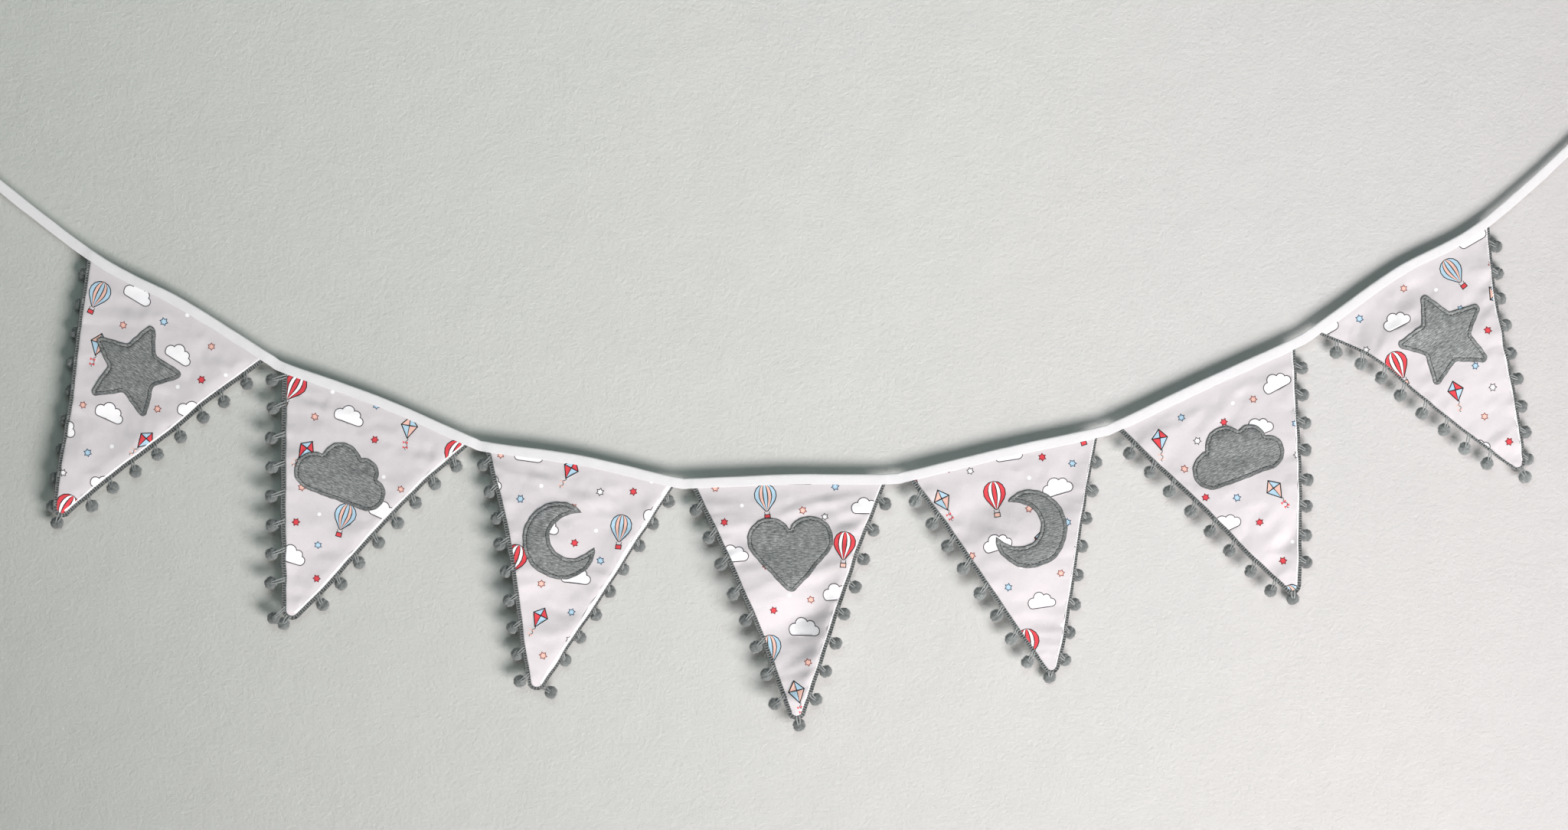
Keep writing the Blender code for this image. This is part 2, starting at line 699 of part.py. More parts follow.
def make_tape(pennants, collection, cutters, materials):
    """The folded tape, thicker where it holds a pennant, with a slot for each pennant's top edge."""
    full = TAPE_WALL + GAP + CLOTH + GAP / 2
    flat = TAPE_FLAT / 2

    def half_thickness(x):
        inside = max(min(x - pennant.left.x, pennant.right.x - x) for pennant in pennants)
        return flat + (full - flat) * smoothstep((inside + TAPE_TAPER) / TAPE_TAPER)

    stations = []
    for step in range(TAPE_STEPS + 1):
        place, run = point_along(TAPE_ROUTE, TAPE_LENGTHS, TAPE_LENGTHS[-1] * step / TAPE_STEPS)
        upwards = Vector((-run.y, run.x)) * TAPE_WIDTH / 2
        stations.append((place - upwards, place + upwards))
    bm = ribbon(stations)
    thicken(bm, lambda point: (-half_thickness(point.x), half_thickness(point.x)))
    tape = object_from(bm, "tape", collection, materials["tape_cotton"])

    slots = bmesh.new()
    inside = GAP + CLOTH + GAP / 2
    for pennant in pennants:
        stations = []
        for step in range(TOP_STEPS + 1):
            x = pennant.left.x + (pennant.right.x - pennant.left.x) * step / TOP_STEPS
            middle, upwards = tape_at(x)
            stations.append([middle - upwards * TAPE_WIDTH, middle + upwards * (TUCK + GAP)])
        slot = ribbon(widened(stations, SLOT_END))
        thicken(slot, lambda point: (-inside, inside))
        mesh = bpy.data.meshes.new("slot")
        slot.to_mesh(mesh)
        slot.free()
        slots.from_mesh(mesh)
        bpy.data.meshes.remove(mesh)
    add_boolean(tape, hide(object_from(slots, "tape_slots", cutters)), "DIFFERENCE")


def widened(stations, more):
    """The same stations with the first and the last moved outwards."""
    first, second, *_, before, last = stations
    for end, inner in ((first, second), (last, before)):
        for index in range(2):
            end[index] = end[index] + (end[index] - inner[index]).normalized() * more
    return stations


def main():
    clear_scene()
    collection = new_collection("bunting")
    cutters = new_collection("cutters")
    materials = {name: make_material(name) for name in FINISHES}
    pennants = [Pennant(number + 1) for number in range(len(PENNANTS))]
    make_tape(pennants, collection, cutters, materials)
    for pennant in pennants:
        make_panels(pennant, collection, materials)
        make_patch(pennant, collection, cutters, materials)
        make_trim(pennant, collection, cutters, materials)


main()
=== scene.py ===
"""The looks of the fabric bunting: its cloth, print, patches, braid, pompoms, wall and light.

Lengths in the tables are millimetres, as in the part's source. X runs to the right along the bunting,
Z is up and +Y points at the wall. A place on a pennant is given across it and down it.
"""

import math
import random

import bmesh
import bpy
import numpy as np
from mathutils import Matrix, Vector
from mathutils.geometry import delaunay_2d_cdt


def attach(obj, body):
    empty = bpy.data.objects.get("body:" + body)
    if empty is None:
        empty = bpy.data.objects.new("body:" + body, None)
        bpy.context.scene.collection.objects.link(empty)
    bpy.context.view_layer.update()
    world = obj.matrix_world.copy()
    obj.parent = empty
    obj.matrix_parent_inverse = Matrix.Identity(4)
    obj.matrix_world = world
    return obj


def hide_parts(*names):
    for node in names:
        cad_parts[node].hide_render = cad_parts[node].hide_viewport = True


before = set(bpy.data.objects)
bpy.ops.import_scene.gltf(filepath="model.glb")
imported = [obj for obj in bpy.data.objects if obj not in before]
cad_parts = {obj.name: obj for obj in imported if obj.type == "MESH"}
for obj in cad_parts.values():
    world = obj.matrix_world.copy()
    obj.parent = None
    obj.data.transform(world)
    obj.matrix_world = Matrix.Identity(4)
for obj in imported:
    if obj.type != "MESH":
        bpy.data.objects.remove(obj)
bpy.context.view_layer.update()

MM = 0.001


def table(columns, *rows):
    """One dictionary for each row, with the columns' names as its keys."""
    return [dict(zip(columns.split(), row)) for row in rows]


# The folded tape
TAPE_WIDTH = 9.0
TAPE_LEFT = (-2.8, -3.5)
TAPE_RIGHT = (1447.5, 30.0)
TAPE_HALF = 0.85
TAPE_HALF_FULL = 1.75
TAPE_TAPER = 7.0
TAPE_SLIM = 0.13
TAPE_SLIM_FROM = 1180.0
TAPE_SLIM_OVER = 80.0
TAPE_STEP = 2.4
TUCK = 2.0

# The tape's section from its open lower edge up to its fold: how high each point is and how far it
# stands out, as shares of half the tape's width and thickness
TAPE_SECTION = (
    (-0.9, 0.45), (-0.975, 0.62), (-1.0, 0.86), (-0.975, 0.97), (-0.9, 1.0),
    (-0.72, 1.0), (-0.45, 1.02), (-0.15, 1.03), (0.15, 1.03), (0.45, 1.0),
    (0.7, 0.95), (0.86, 0.82), (0.95, 0.6), (0.99, 0.3), (1.0, 0.0),
)

# How much the tape's thickness varies, how far it waves in and out, and how much its upper and its
# lower edge vary, with the lengths of these ripples
TAPE_RIPPLES = (
    (0.05, (17.0, 29.0, 43.0)),
    (0.12, (60.0, 95.0, 150.0)),
    (0.02, (40.0, 70.0, 110.0)),
    (0.025, (31.0, 52.0, 90.0)),
)

# The gap between the solids and the thickness of their cloth
GAP = 0.35
CLOTH = 1.0

# The braid, its pompoms and their loops of yarn
BRAID_GAP = 0.3
BRAID_THICK = 1.6
BRAID_WIDTH = 4.4
RUNG_PITCH = 2.15
RAIL_RADIUS = 0.5
RUNG_RADIUS = 0.4
POMPOM_RADIUS = 5.8
POMPOM_FULL = 1.03
POMPOM_CLEAR = 0.4
YARN_SLANT = 4.0
YARN_ROOT = 0.9
LOOP_RADIUS = 0.7
LOOP_END = 0.12
LOOP_FRONT = 0.82
LOOP_BACK = 0.1
LOOP_SLIMS = 0.25
LOOP_SPREAD = 1.2
STRANDS_APART = 0.65
STRAND_BOW = 0.25
STRAND_SAG = (0.0, -0.9, -0.2)
JITTER = 0.9
TILT = 0.3
SQUEEZE = (0.85, 0.98)

# How much of the braid is hidden in the tape at each end, how far its rails and rungs stand forward, how
# far the rails' knots stand out and aside, how high the rungs arch, how much one of them slants up and
# the next one down, and how far the band lies behind them
BRAID_HIDDEN = 3.0
RAIL_FORWARD = 0.05
RUNG_FORWARD = 0.1
KNOT_OUT = 0.1
KNOT_ASIDE = 0.12
RUNG_ARCH = 0.35
RUNG_SLANTS = (-0.25, 0.45)
BAND_BACK = 0.35

# The kinds of pompom. Of radius 1, each has tufts of some heights that rise from furrows, a tie that
# draws it in round its middle, and loose fibres of some lengths and widths.
KINDS = 5
TUFTS = 150
TUFT_HEIGHTS = (0.93, 1.04)
TUFT_RISE = 0.07
TUFT_EDGE = 0.13
FURROW = 0.9
TIE_WIDTH = 0.16
TIE_DEPTH = 0.14
FIBRES = 260
FIBRE_ROOT = 0.84
FIBRE_TIE_DEPTH = 0.12
FIBRE_STRAY = 0.28
FIBRE_LENGTHS = (0.14, 0.3)
FIBRE_WIDTHS = (0.025, 0.05)

# How pale a pompom is in its furrows, how much paler on its tufts and darker at its tie, how much each
# point strays from that, and how pale the fibres are at their three root corners and their end. The
# furrows, the tie and the fibres' roots are darker as painted shade, and the tufts and the fibres' ends
# are paler as painted light.
FURROW_SHADE_TONE = 0.62
TUFT_PAINTED_LIGHT = 0.4
TIE_PAINTED_SHADE = 0.2
TONE_STRAY = 0.1
FIBRE_SHADE_AND_LIGHT = (0.7, 0.7, 0.7, 1.25)

# How pale the pompoms are, one beside another, and how pale the braid's rails, their knots, the rungs,
# the band behind them and the loops are beside that. The knots are paler where they stand forward, as
# painted light, and the band is dark as painted shade in the gaps between the rungs. Along some sides
# all of the yarn is painted paler, as painted light.
POMPOM_TONES = (0.85, 1.15)
RAIL_TONE = 0.32
KNOT_PAINTED_LIGHT = 0.08
RUNG_TONE = 0.72
BAND_SHADE_TONE = 0.22
LOOP_TONE = 0.78
SIDE_PAINTED_LIGHT = {(5, "left"): 1.25, (6, "left"): 1.1, (7, "left"): 1.35}

# The cloth is flat in the tape, and stands out fully this far below the tape's middle line
RAMP_START = 5.5
RAMP_LENGTH = 16.0
TIP_HALF_WIDTH = 6.0

# A pennant's right edge is carried on past the tip by this much where it's measured for its roll
PAST_TIP = 40.0

# Half the space that a pennant's two layers take up away from the seam and close to it, and how wide
# the edge between the two is
PUFF = 0.8
SEAM = 0.1
PUFF_EDGE = 1.7

# The waves that make the cloth uneven: the shortest, the longest and how many there are
SOFT_WAVES = (34.0, 90.0, 14)
FINE_WAVES = (9.0, 24.0, 24)
RUMPLE_WAVES = (13.0, 30.0, 18)
PATCHY_WAVES = (40.0, 90.0, 10)
SWAY_WAVES = (22.0, 70.0, 14)

# How far the soft and the fine waves stand out, and how far the edges sway within the cloth
SOFT_HEIGHT = 0.45
FINE_HEIGHT = 0.1
SWAY = 0.28

# How far the rumples, which run across the cloth, stand out on each pennant, and how much they turn
RUMPLES = (0.5, 0.6, 0.8, 0.9, 0.5, 0.55, 0.5)
RUMPLE_SPREAD = 0.6

# The puckers along a seam, wider ones along it, and those along the tape: how high they are, how far
# from it they die away, and the lengths of their ripples
SEAM_PUCKERS = (0.22, 5.0, (7.0, 10.5, 16.0, 27.0))
WIDE_PUCKERS = (0.4, 16.0, (19.0, 31.0, 44.0))
TAPE_PUCKERS = (0.5, 14.0, (13.0, 21.0, 37.0))

# The meshes of the cloth: the size of their cells and the rings of points inside their edges
FRONT_CELL = 1.4
BACK_CELL = 3.2
PATCH_CELL = 1.3
PATCH_STEP = 0.9
EDGE_STEP = 1.4
EDGE_RINGS = (0.12, 0.4, 0.9, 1.7)

# The sewn edge of a patch: how far in its stitches run, how much each strays in its ends and aside, and
# the height of the patch above the cloth further in
STITCH_INSET = 3.2
STITCH_LENGTH = 2.9
STITCH_GAP = 0.3
STITCH_RADIUS = 0.3
STITCH_SHIFT = 0.15
STITCH_LONGER = 0.2
STITCH_ASIDE = 0.12
STITCH_BOW = (-0.35, 0.12, 0.3, 0.36, 0.3, 0.12, -0.35)
PATCH_LIFT = PUFF + 0.1
PATCH_RINGS = (0.15, 0.45, 0.9, 1.5, 2.2, 2.8, 3.2, 3.6, 4.2, 5.0)
PATCH_RISE = (
    (0.0, 0.15, 0.45, 0.9, 1.5, 2.2, 2.8, 3.2, 3.6, 4.2, 5.0, 7.5),
    (0.05, 0.8, 1.05, 1.08, 0.95, 0.7, 0.4, 0.26, 0.38, 0.66, 0.88, 1.0),
)

# How unevenly a patch is cut and how its edge curls up: how far, and the lengths of the ripples
PATCH_CUT = (0.22, (9.0, 17.0, 29.0))
PATCH_CURL = (0.22, (6.0, 9.5, 17.0))
PATCH_CURL_UP = 0.12
PATCH_CURL_REACH = 1.2

# How dark the painted shade along a patch's cut edge is, at some distances from it, and how pale some patches
# are
PATCH_EDGE_SHADE = ((0.0, 0.4, 0.9, 1.5), (0.42, 0.55, 0.85, 1.0))
PATCH_TONES = {1: 0.97, 5: 1.05, 6: 1.02, 7: 1.2}

# The sides of a pennant would meet at tip_x, tip_z, and the tip is rounded by tip_r. Its corners lie
# on the tape's middle line, which rises by top_bow between them. The lifts bring the left side, the
# right side and the tip towards the viewer.
PENNANTS = table(
    "left_x left_z right_x right_z tip_x tip_z tip_r top_bow left_lift right_lift tip_lift",
    (117.5, -96.5, 269.5, -184.5, 86.0, -328.5, 5.0, 3.0, 4.0, 1.0, -1.0),
    (289.0, -195.5, 448.0, -258.5, 288.0, -419.0, 5.0, 3.0, 6.0, 1.0, -1.0),
    (465.5, -264.0, 627.5, -294.5, 504.5, -482.5, 5.0, 3.5, 9.0, 0.0, 0.0),
    (645.5, -295.5, 811.0, -292.0, 735.0, -508.0, 5.5, 1.7, 10.0, 5.0, 3.0),
    (835.5, -288.5, 996.5, -251.5, 960.0, -465.5, 4.0, 1.0, 4.0, 3.0, -1.0),
    (1017.0, -244.5, 1168.5, -174.0, 1173.0, -395.5, 4.5, 0.7, 5.0, 5.0, 1.0),
    (1189.5, -161.5, 1338.5, -67.5, 1371.5, -287.5, 5.0, 4.5, 3.0, 5.0, 0.0),
)

# How far a long side bows outwards from straight at its quarter points, how much of its braid shows,
# and its pompoms: how many, where the first and the last hang along the side, and how far out.
SIDES = table(
    "pennant side bow_1 bow_2 bow_3 braid count first last reach",
    (1, "left", 0.0, -1.5, 0.0, 2.6, 9, 17.0, 222.0, 4.2),
    (1, "right", -2.5, -1.0, -2.0, 3.4, 8, 27.5, 200.0, 11.0),
    (2, "left", 0.0, 0.0, 0.0, 4.2, 9, 9.0, 212.5, 12.6),
    (2, "right", -4.0, -3.5, -0.5, 2.8, 8, 23.0, 193.0, 9.3),
    (3, "left", -4.0, -4.5, -1.5, 3.6, 9, 14.0, 206.5, 9.0),
    (3, "right", 0.0, 0.5, 0.0, 1.6, 8, 17.5, 183.5, 4.6),
    (4, "left", -3.0, -4.5, -3.0, 3.6, 8, 22.0, 205.5, 10.2),
    (4, "right", -2.5, -2.0, -1.0, 2.8, 8, 20.0, 201.5, 9.0),
    (5, "left", -1.5, -0.5, 0.5, 4.0, 8, 19.5, 191.5, 11.0),
    (5, "right", -1.0, -0.5, 1.0, 1.8, 8, 25.0, 201.0, 6.0),
    (6, "left", 0.0, -0.5, 1.0, 4.0, 8, 23.0, 195.5, 11.4),
    (6, "right", 1.0, 2.0, 1.5, 2.0, 8, 20.5, 191.0, 7.9),
    (7, "left", -9.5, -4.5, -1.5, 2.4, 8, 24.0, 191.0, 12.2),
    (7, "right", -4.0, -3.0, 0.0, 1.8, 9, 21.5, 210.5, 6.5),
)

# The pompom at each tip: where it hangs, across and down from the lowest point of the rounded tip.
TIP_POMPOMS = ((1.5, 9.5), (-3.0, 9.0), (13.5, 1.5), (1.5, 8.5), (-3.0, 6.0), (-3.5, 7.0), (-1.0, 10.0))

# Folds in the cloth: the middle of each, the direction in which it runs in degrees from across the
# pennant, how long and how wide it is, and how far it stands towards the viewer. Troughs are negative.
FOLDS = table(
    "pennant across down turn length width height",
    (1, -22, 60, 75, 45, 16, 2.0),
    (1, 24, 92, 60, 55, 18, -1.8),
    (1, -12, 150, 80, 40, 14, 1.8),
    (2, -38, 55, 85, 60, 18, 1.6),
    (2, 30, 62, 8, 45, 13, 2.0),
    (2, 22, 92, 12, 40, 13, -1.6),
    (2, -8, 150, 70, 36, 13, -1.8),
    (3, 34, 50, 60, 55, 16, -2.6),
    (3, -30, 96, 82, 48, 15, 2.0),
    (3, 4, 124, 14, 30, 14, -2.6),
    (3, 6, 155, 4, 28, 14, 4.2),
    (4, -46, 36, 4, 30, 9, 2.2),
    (4, -42, 56, 2, 26, 8, -1.8),
    (4, -12, 92, 8, 52, 22, 4.6),
    (4, 2, 120, 38, 50, 19, -9.5),
    (4, 2, 190, 6, 28, 22, 5.0),
    (5, -34, 42, 14, 36, 12, -1.8),
    (5, -24, 68, 12, 34, 12, 1.8),
    (5, 52, 30, 62, 34, 12, -2.4),
    (5, 4, 82, 6, 70, 36, 4.6),
    (5, 6, 172, -14, 22, 9, 2.2),
    (6, -50, 22, 40, 26, 11, 2.0),
    (6, 28, 60, -18, 36, 12, 1.6),
    (6, 30, 84, -20, 34, 12, -1.6),
    (6, 0, 92, -6, 66, 34, 3.0),
    (6, 8, 156, 40, 26, 9, -3.6),
    (7, -62, 20, 44, 30, 11, -3.0),
    (7, -30, 44, 4, 46, 17, 4.8),
    (7, 10, 100, 4, 60, 36, 3.6),
    (7, 8, 22, 76, 34, 12, -3.0),
    (7, 2, 172, 0, 18, 9, 2.0),
)

# Right edges that roll back to the wall: how far in the roll starts and how far the edge goes back.
ROLLS = table(
    "pennant width back",
    (1, 11.0, 3.0),
    (2, 8.0, 2.2),
    (3, 9.0, 2.8),
    (4, 7.0, 1.8),
)

# How wide the white strip painted along each right edge is, at the tip and at the tape: partly the white
# lining that rolls to the front, partly a painted highlight where the rolled edge catches the light.
LINING_AND_HIGHLIGHT_WIDTHS = ((1.9, 1.1), (2.2, 1.5), (2.2, 3.4), (1.1, 1.0), (1.1, 0.9), (1.2, 1.2), (1.3, 0.9))
LINING_AND_HIGHLIGHT_RIPPLES = (0.18, (17.0, 31.0, 53.0))

# Creases and slight swells, in the same columns as the folds.
CREASES = table(
    "pennant across down turn length width height",
    (1, 4, 176, 10, 40, 26.0, 1.8),
    (1, 26, 150, 60, 80, 34.0, 3.6),
    (2, -60, 60, 4, 16, 4.5, 0.5),
    (2, -52, 100, 6, 14, 4.5, 0.5),
    (2, -20, 118, 12, 44, 12.0, 1.6),
    (3, -14, 70, 8, 46, 10.0, 1.4),
    (4, -62, 30, 6, 20, 3.5, 0.8),
    (4, -58, 44, 4, 18, 3.5, -0.7),
    (4, -54, 62, 2, 18, 4.0, 0.7),
    (4, 21, 160, 68, 52, 17.0, 7.6),
    (4, 50, 62, 84, 40, 16.0, 3.0),
    (5, 8, 104, 10, 60, 34.0, 4.2),
    (5, 2, 160, -16, 16, 3.5, 0.8),
    (5, 4, 176, -18, 12, 3.0, -0.7),
    (6, 0, 88, -6, 66, 34.0, -1.8),
    (6, 16, 118, -20, 40, 16.0, 1.4),
    (6, -2, 160, -22, 14, 3.5, 0.8),
    (7, 26, 70, -30, 50, 14.0, 1.8),
    (7, -60, 16, 50, 22, 4.0, 0.9),
    (7, -48, 36, 44, 24, 4.5, -0.8),
    (7, 0, 166, 8, 14, 3.5, 0.7),
)

# The patches: their shape, where its middle lies on the pennant, its height and how far it is turned
# from upright on the pennant, in degrees anticlockwise.
PATCHES = table(
    "pennant shape across down size turn",
    (1, "star", -6.0, 66.0, 78.0, 6.0),
    (2, "cloud", -3.0, 66.0, 50.0, 2.0),
    (3, "moon", 0.0, 66.0, 72.0, 32.0),
    (4, "heart", -1.0, 64.0, 66.0, 0.0),
    (5, "moon", 3.0, 66.0, 72.0, 148.0),
    (6, "cloud", 1.0, 64.0, 50.0, -3.0),
    (7, "star", 3.0, 64.0, 78.0, -6.0),
)

# The printed cotton's repeat: its width and height, and what is on it.
REPEAT = (152.0, 132.0)
PRINT = table(
    "motif across up size turn colour",
    ("balloon", 22, 24, 33, -6, "red"),
    ("star", 49, 9, 3.9, 10, "peach"),
    ("cloud", 77, 22, 27, 3, "white"),
    ("star", 105, 11, 3.8, -14, "red"),
    ("kite", 130, 27, 30, 14, "blue"),
    ("dot", 55, 35, 1.8, 0, "white"),
    ("star", 95, 39, 3.9, 20, "blue"),
    ("star", 6, 52, 3.7, 5, "white"),
    ("cloud", 42, 60, 25, -4, "white"),
    ("star", 70, 50, 4.0, -8, "red"),
    ("balloon", 107, 68, 32, 5, "blue"),
    ("dot", 86, 64, 1.7, 0, "white"),
    ("star", 139, 58, 3.9, 12, "peach"),
    ("star", 16, 78, 4.0, -20, "blue"),
    ("dot", 31, 93, 1.8, 0, "white"),
    ("star", 63, 80, 3.8, 30, "peach"),
    ("cloud", 137, 88, 27, -2, "white"),
    ("kite", 52, 107, 28, -16, "red"),
    ("star", 83, 98, 4.0, 0, "white"),
    ("star", 111, 104, 3.9, 16, "red"),
    ("cloud", 15, 118, 26, 4, "white"),
    ("star", 79, 122, 3.8, -10, "blue"),
    ("dot", 125, 116, 1.7, 0, "white"),
    ("star", 143, 112, 3.7, 8, "peach"),
)

# Where on the repeat the middle of each pennant's top edge was cut.
CUTS = ((20.0, 96.0), (96.0, 40.0), (62.0, 118.0), (128.0, 84.0), (38.0, 60.0), (110.0, 8.0), (67.0, 90.0))

# The height and width of a stitch of the jersey's knit
KNIT_ROW = 0.95
KNIT_COLUMN = 1.15

# The width of the dark line round the print's shapes, and half the width of its thin lines
LINE = 0.85
THIN_LINE = 0.3

INKS = {
    "ground": (0.62, 0.588, 0.599),
    "line": (0.018, 0.016, 0.018),
    "line_red": (0.17, 0.025, 0.03),
    "line_peach": (0.24, 0.07, 0.06),
    "line_blue": (0.04, 0.085, 0.14),
    "line_white": (0.07, 0.06, 0.065),
    "white": (0.90, 0.89, 0.90),
    "red": (0.70, 0.06, 0.075),
    "blue": (0.42, 0.60, 0.72),
    "peach": (0.80, 0.50, 0.42),
}

# The wall, in metres: its sides, its top, how far back it is, how much it turns and leans, and its
# paint. The floor lies well below, and is large enough to fill every view.
WALL_SIDES = (-6.0, 7.4)
WALL_TOP = 3.6
WALL_BACK = 0.0149
WALL_SWING = -0.0035
WALL_LEAN = -0.015
WALL_PAINT = (0.633, 0.637, 0.613)
FLOOR_LOW = -2.4
FLOOR_SIZE = 40.0
FLOOR_PAINT = (0.7, 0.7, 0.68)
FLOOR_SUN = 2.1

# What the surround gives the bunting as light, and what the camera sees of it
SURROUND_LIGHT = (0.024, 0.03, 0.029, 1.0)
SURROUND_SEEN = (0.62, 0.62, 0.6, 1.0)

# The lamps, in metres: where each stands, where it points, its width, its power, its colour and how
# often its light bounces. The key is a window at the lower right and the fill is weak. The one behind
# the wall lights the backs, and nothing that is seen from the front.
LAMPS = table(
    "name place target width power colour bounces",
    ("key", (2.2, -2.58, -1.98), (0.78, 0.0, -0.27), 1.9, 182.0, (1.0, 0.945, 0.955), 1024),
    ("fill", (0.6, -2.6, 0.5), (0.7, 0.0, -0.2), 1.2, 16.0, (0.8, 1.0, 0.99), 1024),
    ("behind", (-0.6, 2.6, 0.9), (0.7, 0.0, -0.25), 1.6, 90.0, (1.0, 1.0, 1.0), 0),
)

# The camera, in metres, and how wide its view is at the tape
CAMERA = (0.7236, -3.2, -0.2358)
VIEW_WIDTH = 1.372
SENSOR_MM = 36.0


def smoothstep(value):
    t = np.clip(value, 0.0, 1.0)
    return t * t * (3.0 - 2.0 * t)


def unit(vectors):
    return vectors / np.maximum(np.linalg.norm(vectors, axis=-1, keepdims=True), 1e-12)


def turned(points, degrees):
    angle = math.radians(degrees)
    spin = np.array([[math.cos(angle), math.sin(angle)], [-math.sin(angle), math.cos(angle)]])
    return np.asarray(points) @ spin


def catmull_rom(p0, p1, p2, p3, t):
    """The point at t between p1 and p2 on a smooth curve through all four."""
    return 0.5 * (
        2 * p1 + (p2 - p0) * t + (2 * p0 - 5 * p1 + 4 * p2 - p3) * t**2 + (3 * p1 - p0 - 3 * p2 + p3) * t**3
    )


def carried_on(values):
    """The values with one more at each end, where the line through the last two goes on to."""
    return [2 * values[0] - values[1], *values, 2 * values[-1] - values[-2]]


def smooth_value(values, share):
    """The value at a share from 0 to 1 of a smooth curve through evenly spaced values."""
    spans = len(values) - 1
    index = min(int(share * spans), spans - 1)
    return catmull_rom(*carried_on(values)[index : index + 4], share * spans - index)


def smooth_route(points, steps):
    """A smooth line through the points, with the same number of steps between each two of them."""
    padded = carried_on(points)
    route = [
        catmull_rom(*padded[index : index + 4], step / steps)
        for index in range(len(points) - 1)
        for step in range(steps)
    ]
    return np.array([*route, points[-1]])


def lengths_along(route):
    """How far along the route each of its points lies."""
    return np.concatenate([[0.0], np.cumsum(np.linalg.norm(np.diff(route, axis=0), axis=1))])


def resample(route, step):
    """The same route with points at even steps."""
    lengths = lengths_along(route)
    places = np.linspace(0.0, lengths[-1], max(2, round(lengths[-1] / step)) + 1)
    return along(route, lengths, places)[0]


def both_between(at, known, values):
    """Pairs of values between those known, as numpy gives single ones."""
    return np.column_stack([np.interp(at, known, values[:, axis]) for axis in range(2)])


def along(route, lengths, distances):
    """The places at some distances along a route, and the directions in which it runs there."""
    distances = np.atleast_1d(distances)
    runs = unit(np.gradient(route, axis=0))
    return both_between(distances, lengths, route), unit(both_between(distances, lengths, runs))


def outwards(directions):
    """The outer side of a route that has its pennant or shape on its left."""
    return np.column_stack([directions[:, 1], -directions[:, 0]])


def closed(outline):
    """The outline with its first point again at the end."""
    return np.vstack([outline, outline[:1]])


def runs_round(outline):
    """The direction in which a closed outline runs past each of its points."""
    return unit(np.roll(outline, -1, axis=0) - np.roll(outline, 1, axis=0))


def nearest_on(points, route):
    """How far each point is from a route, and how far along the route its nearest place is."""
    starts, steps = route[:-1], np.diff(route, axis=0)
    squared = np.maximum((steps**2).sum(axis=1), 1e-12)
    lengths = lengths_along(route)
    distances, places = np.empty(len(points)), np.empty(len(points))
    for first in range(0, len(points), 4000):
        block = points[first : first + 4000]
        offsets = block[:, None] - starts[None]
        shares = np.clip((offsets * steps[None]).sum(axis=2) / squared, 0.0, 1.0)
        gaps = np.linalg.norm(offsets - shares[..., None] * steps[None], axis=2)
        best = gaps.argmin(axis=1)
        rows = np.arange(len(block))
        distances[first : first + 4000] = gaps[rows, best]
        places[first : first + 4000] = lengths[best] + shares[rows, best] * np.sqrt(squared[best])
    return distances, places


def inset_from(points, route):
    """How far each point is from a route that has it on its left. On the route's right this is 0."""
    gaps, stations = nearest_on(points, route)
    spots, runs = along(route, lengths_along(route), stations)
    return np.where(((points - spots) * outwards(runs)).sum(axis=1) > 0, 0.0, gaps)


def inside(points, outline):
    """Which points lie inside a closed outline."""
    starts, ends = outline, np.roll(outline, -1, axis=0)
    found = np.zeros(len(points), dtype=bool)
    for (x0, z0), (x1, z1) in zip(starts, ends):
        crosses = (z0 > points[:, 1]) != (z1 > points[:, 1])
        if z0 != z1:
            found ^= crosses & (points[:, 0] < (x1 - x0) * (points[:, 1] - z0) / (z1 - z0) + x0)
    return found


class Waves:
    """A soft, uneven surface: the sum of waves with lengths between the two given. They run in all
    directions, or within a spread to each side of one."""

    def __init__(self, seed, shortest, longest, count, heading=0.0, spread=math.pi):
        rng = random.Random(seed)
        self.waves = []
        for _ in range(count):
            length = math.exp(rng.uniform(math.log(shortest), math.log(longest)))
            angle, phase = heading + rng.uniform(-spread, spread), rng.uniform(0, 2 * math.pi)
            pace = 2 * math.pi / length
            self.waves.append((pace * math.cos(angle), pace * math.sin(angle), phase))

    def __call__(self, points):
        height = sum(np.sin(points[:, 0] * x + points[:, 1] * z + phase) for x, z, phase in self.waves)
        return height / math.sqrt(len(self.waves))


def ripples(seed, places, lengths):
    """An uneven ripple along a line, from waves of the given lengths."""
    rng = random.Random(seed)
    height = 0.0
    for length in lengths:
        height = height + np.sin(2 * math.pi * places / length + rng.uniform(0, 2 * math.pi))
    return height / math.sqrt(len(lengths))


def puckers(kind, seed, gaps, places):
    """Puckers that die away from an edge, at gaps from it and places along it."""
    height, reach, lengths = kind
    return height * np.exp(-gaps / reach) * ripples(seed, places, lengths)


def tape_points():
    """The points that the middle line of the tape goes through."""
    points = [np.array(TAPE_LEFT)]
    for row in PENNANTS:
        left = np.array((row["left_x"], row["left_z"]))
        right = np.array((row["right_x"], row["right_z"]))
        upwards = unit(np.array((left[1] - right[1], right[0] - left[0])))
        points += [left, (left + right) / 2 + upwards * row["top_bow"], right]
    return [*points, np.array(TAPE_RIGHT)]


HALF_TAPE = TAPE_WIDTH / 2
TAPE_ROUTE = smooth_route(tape_points(), 24)
TAPE_RUNS = unit(np.gradient(TAPE_ROUTE, axis=0))
TAPE_LENGTHS = lengths_along(TAPE_ROUTE)


def tape_at(x):
    """The tape's middle line above or below each x, and its upward direction there."""
    middle = np.column_stack([x, np.interp(x, TAPE_ROUTE[:, 0], TAPE_ROUTE[:, 1])])
    return middle, unit(-outwards(both_between(x, TAPE_ROUTE[:, 0], TAPE_RUNS)))


def below_tape(points):
    """How far each point lies below the tape's middle line."""
    middle, upwards = tape_at(points[:, 0])
    return ((middle - points) * upwards).sum(axis=1)


def free_of_tape(points):
    """How free of the tape each point is: 0 where the tape holds it flat, and 1 well below."""
    return smoothstep((below_tape(points) - RAMP_START) / RAMP_LENGTH)


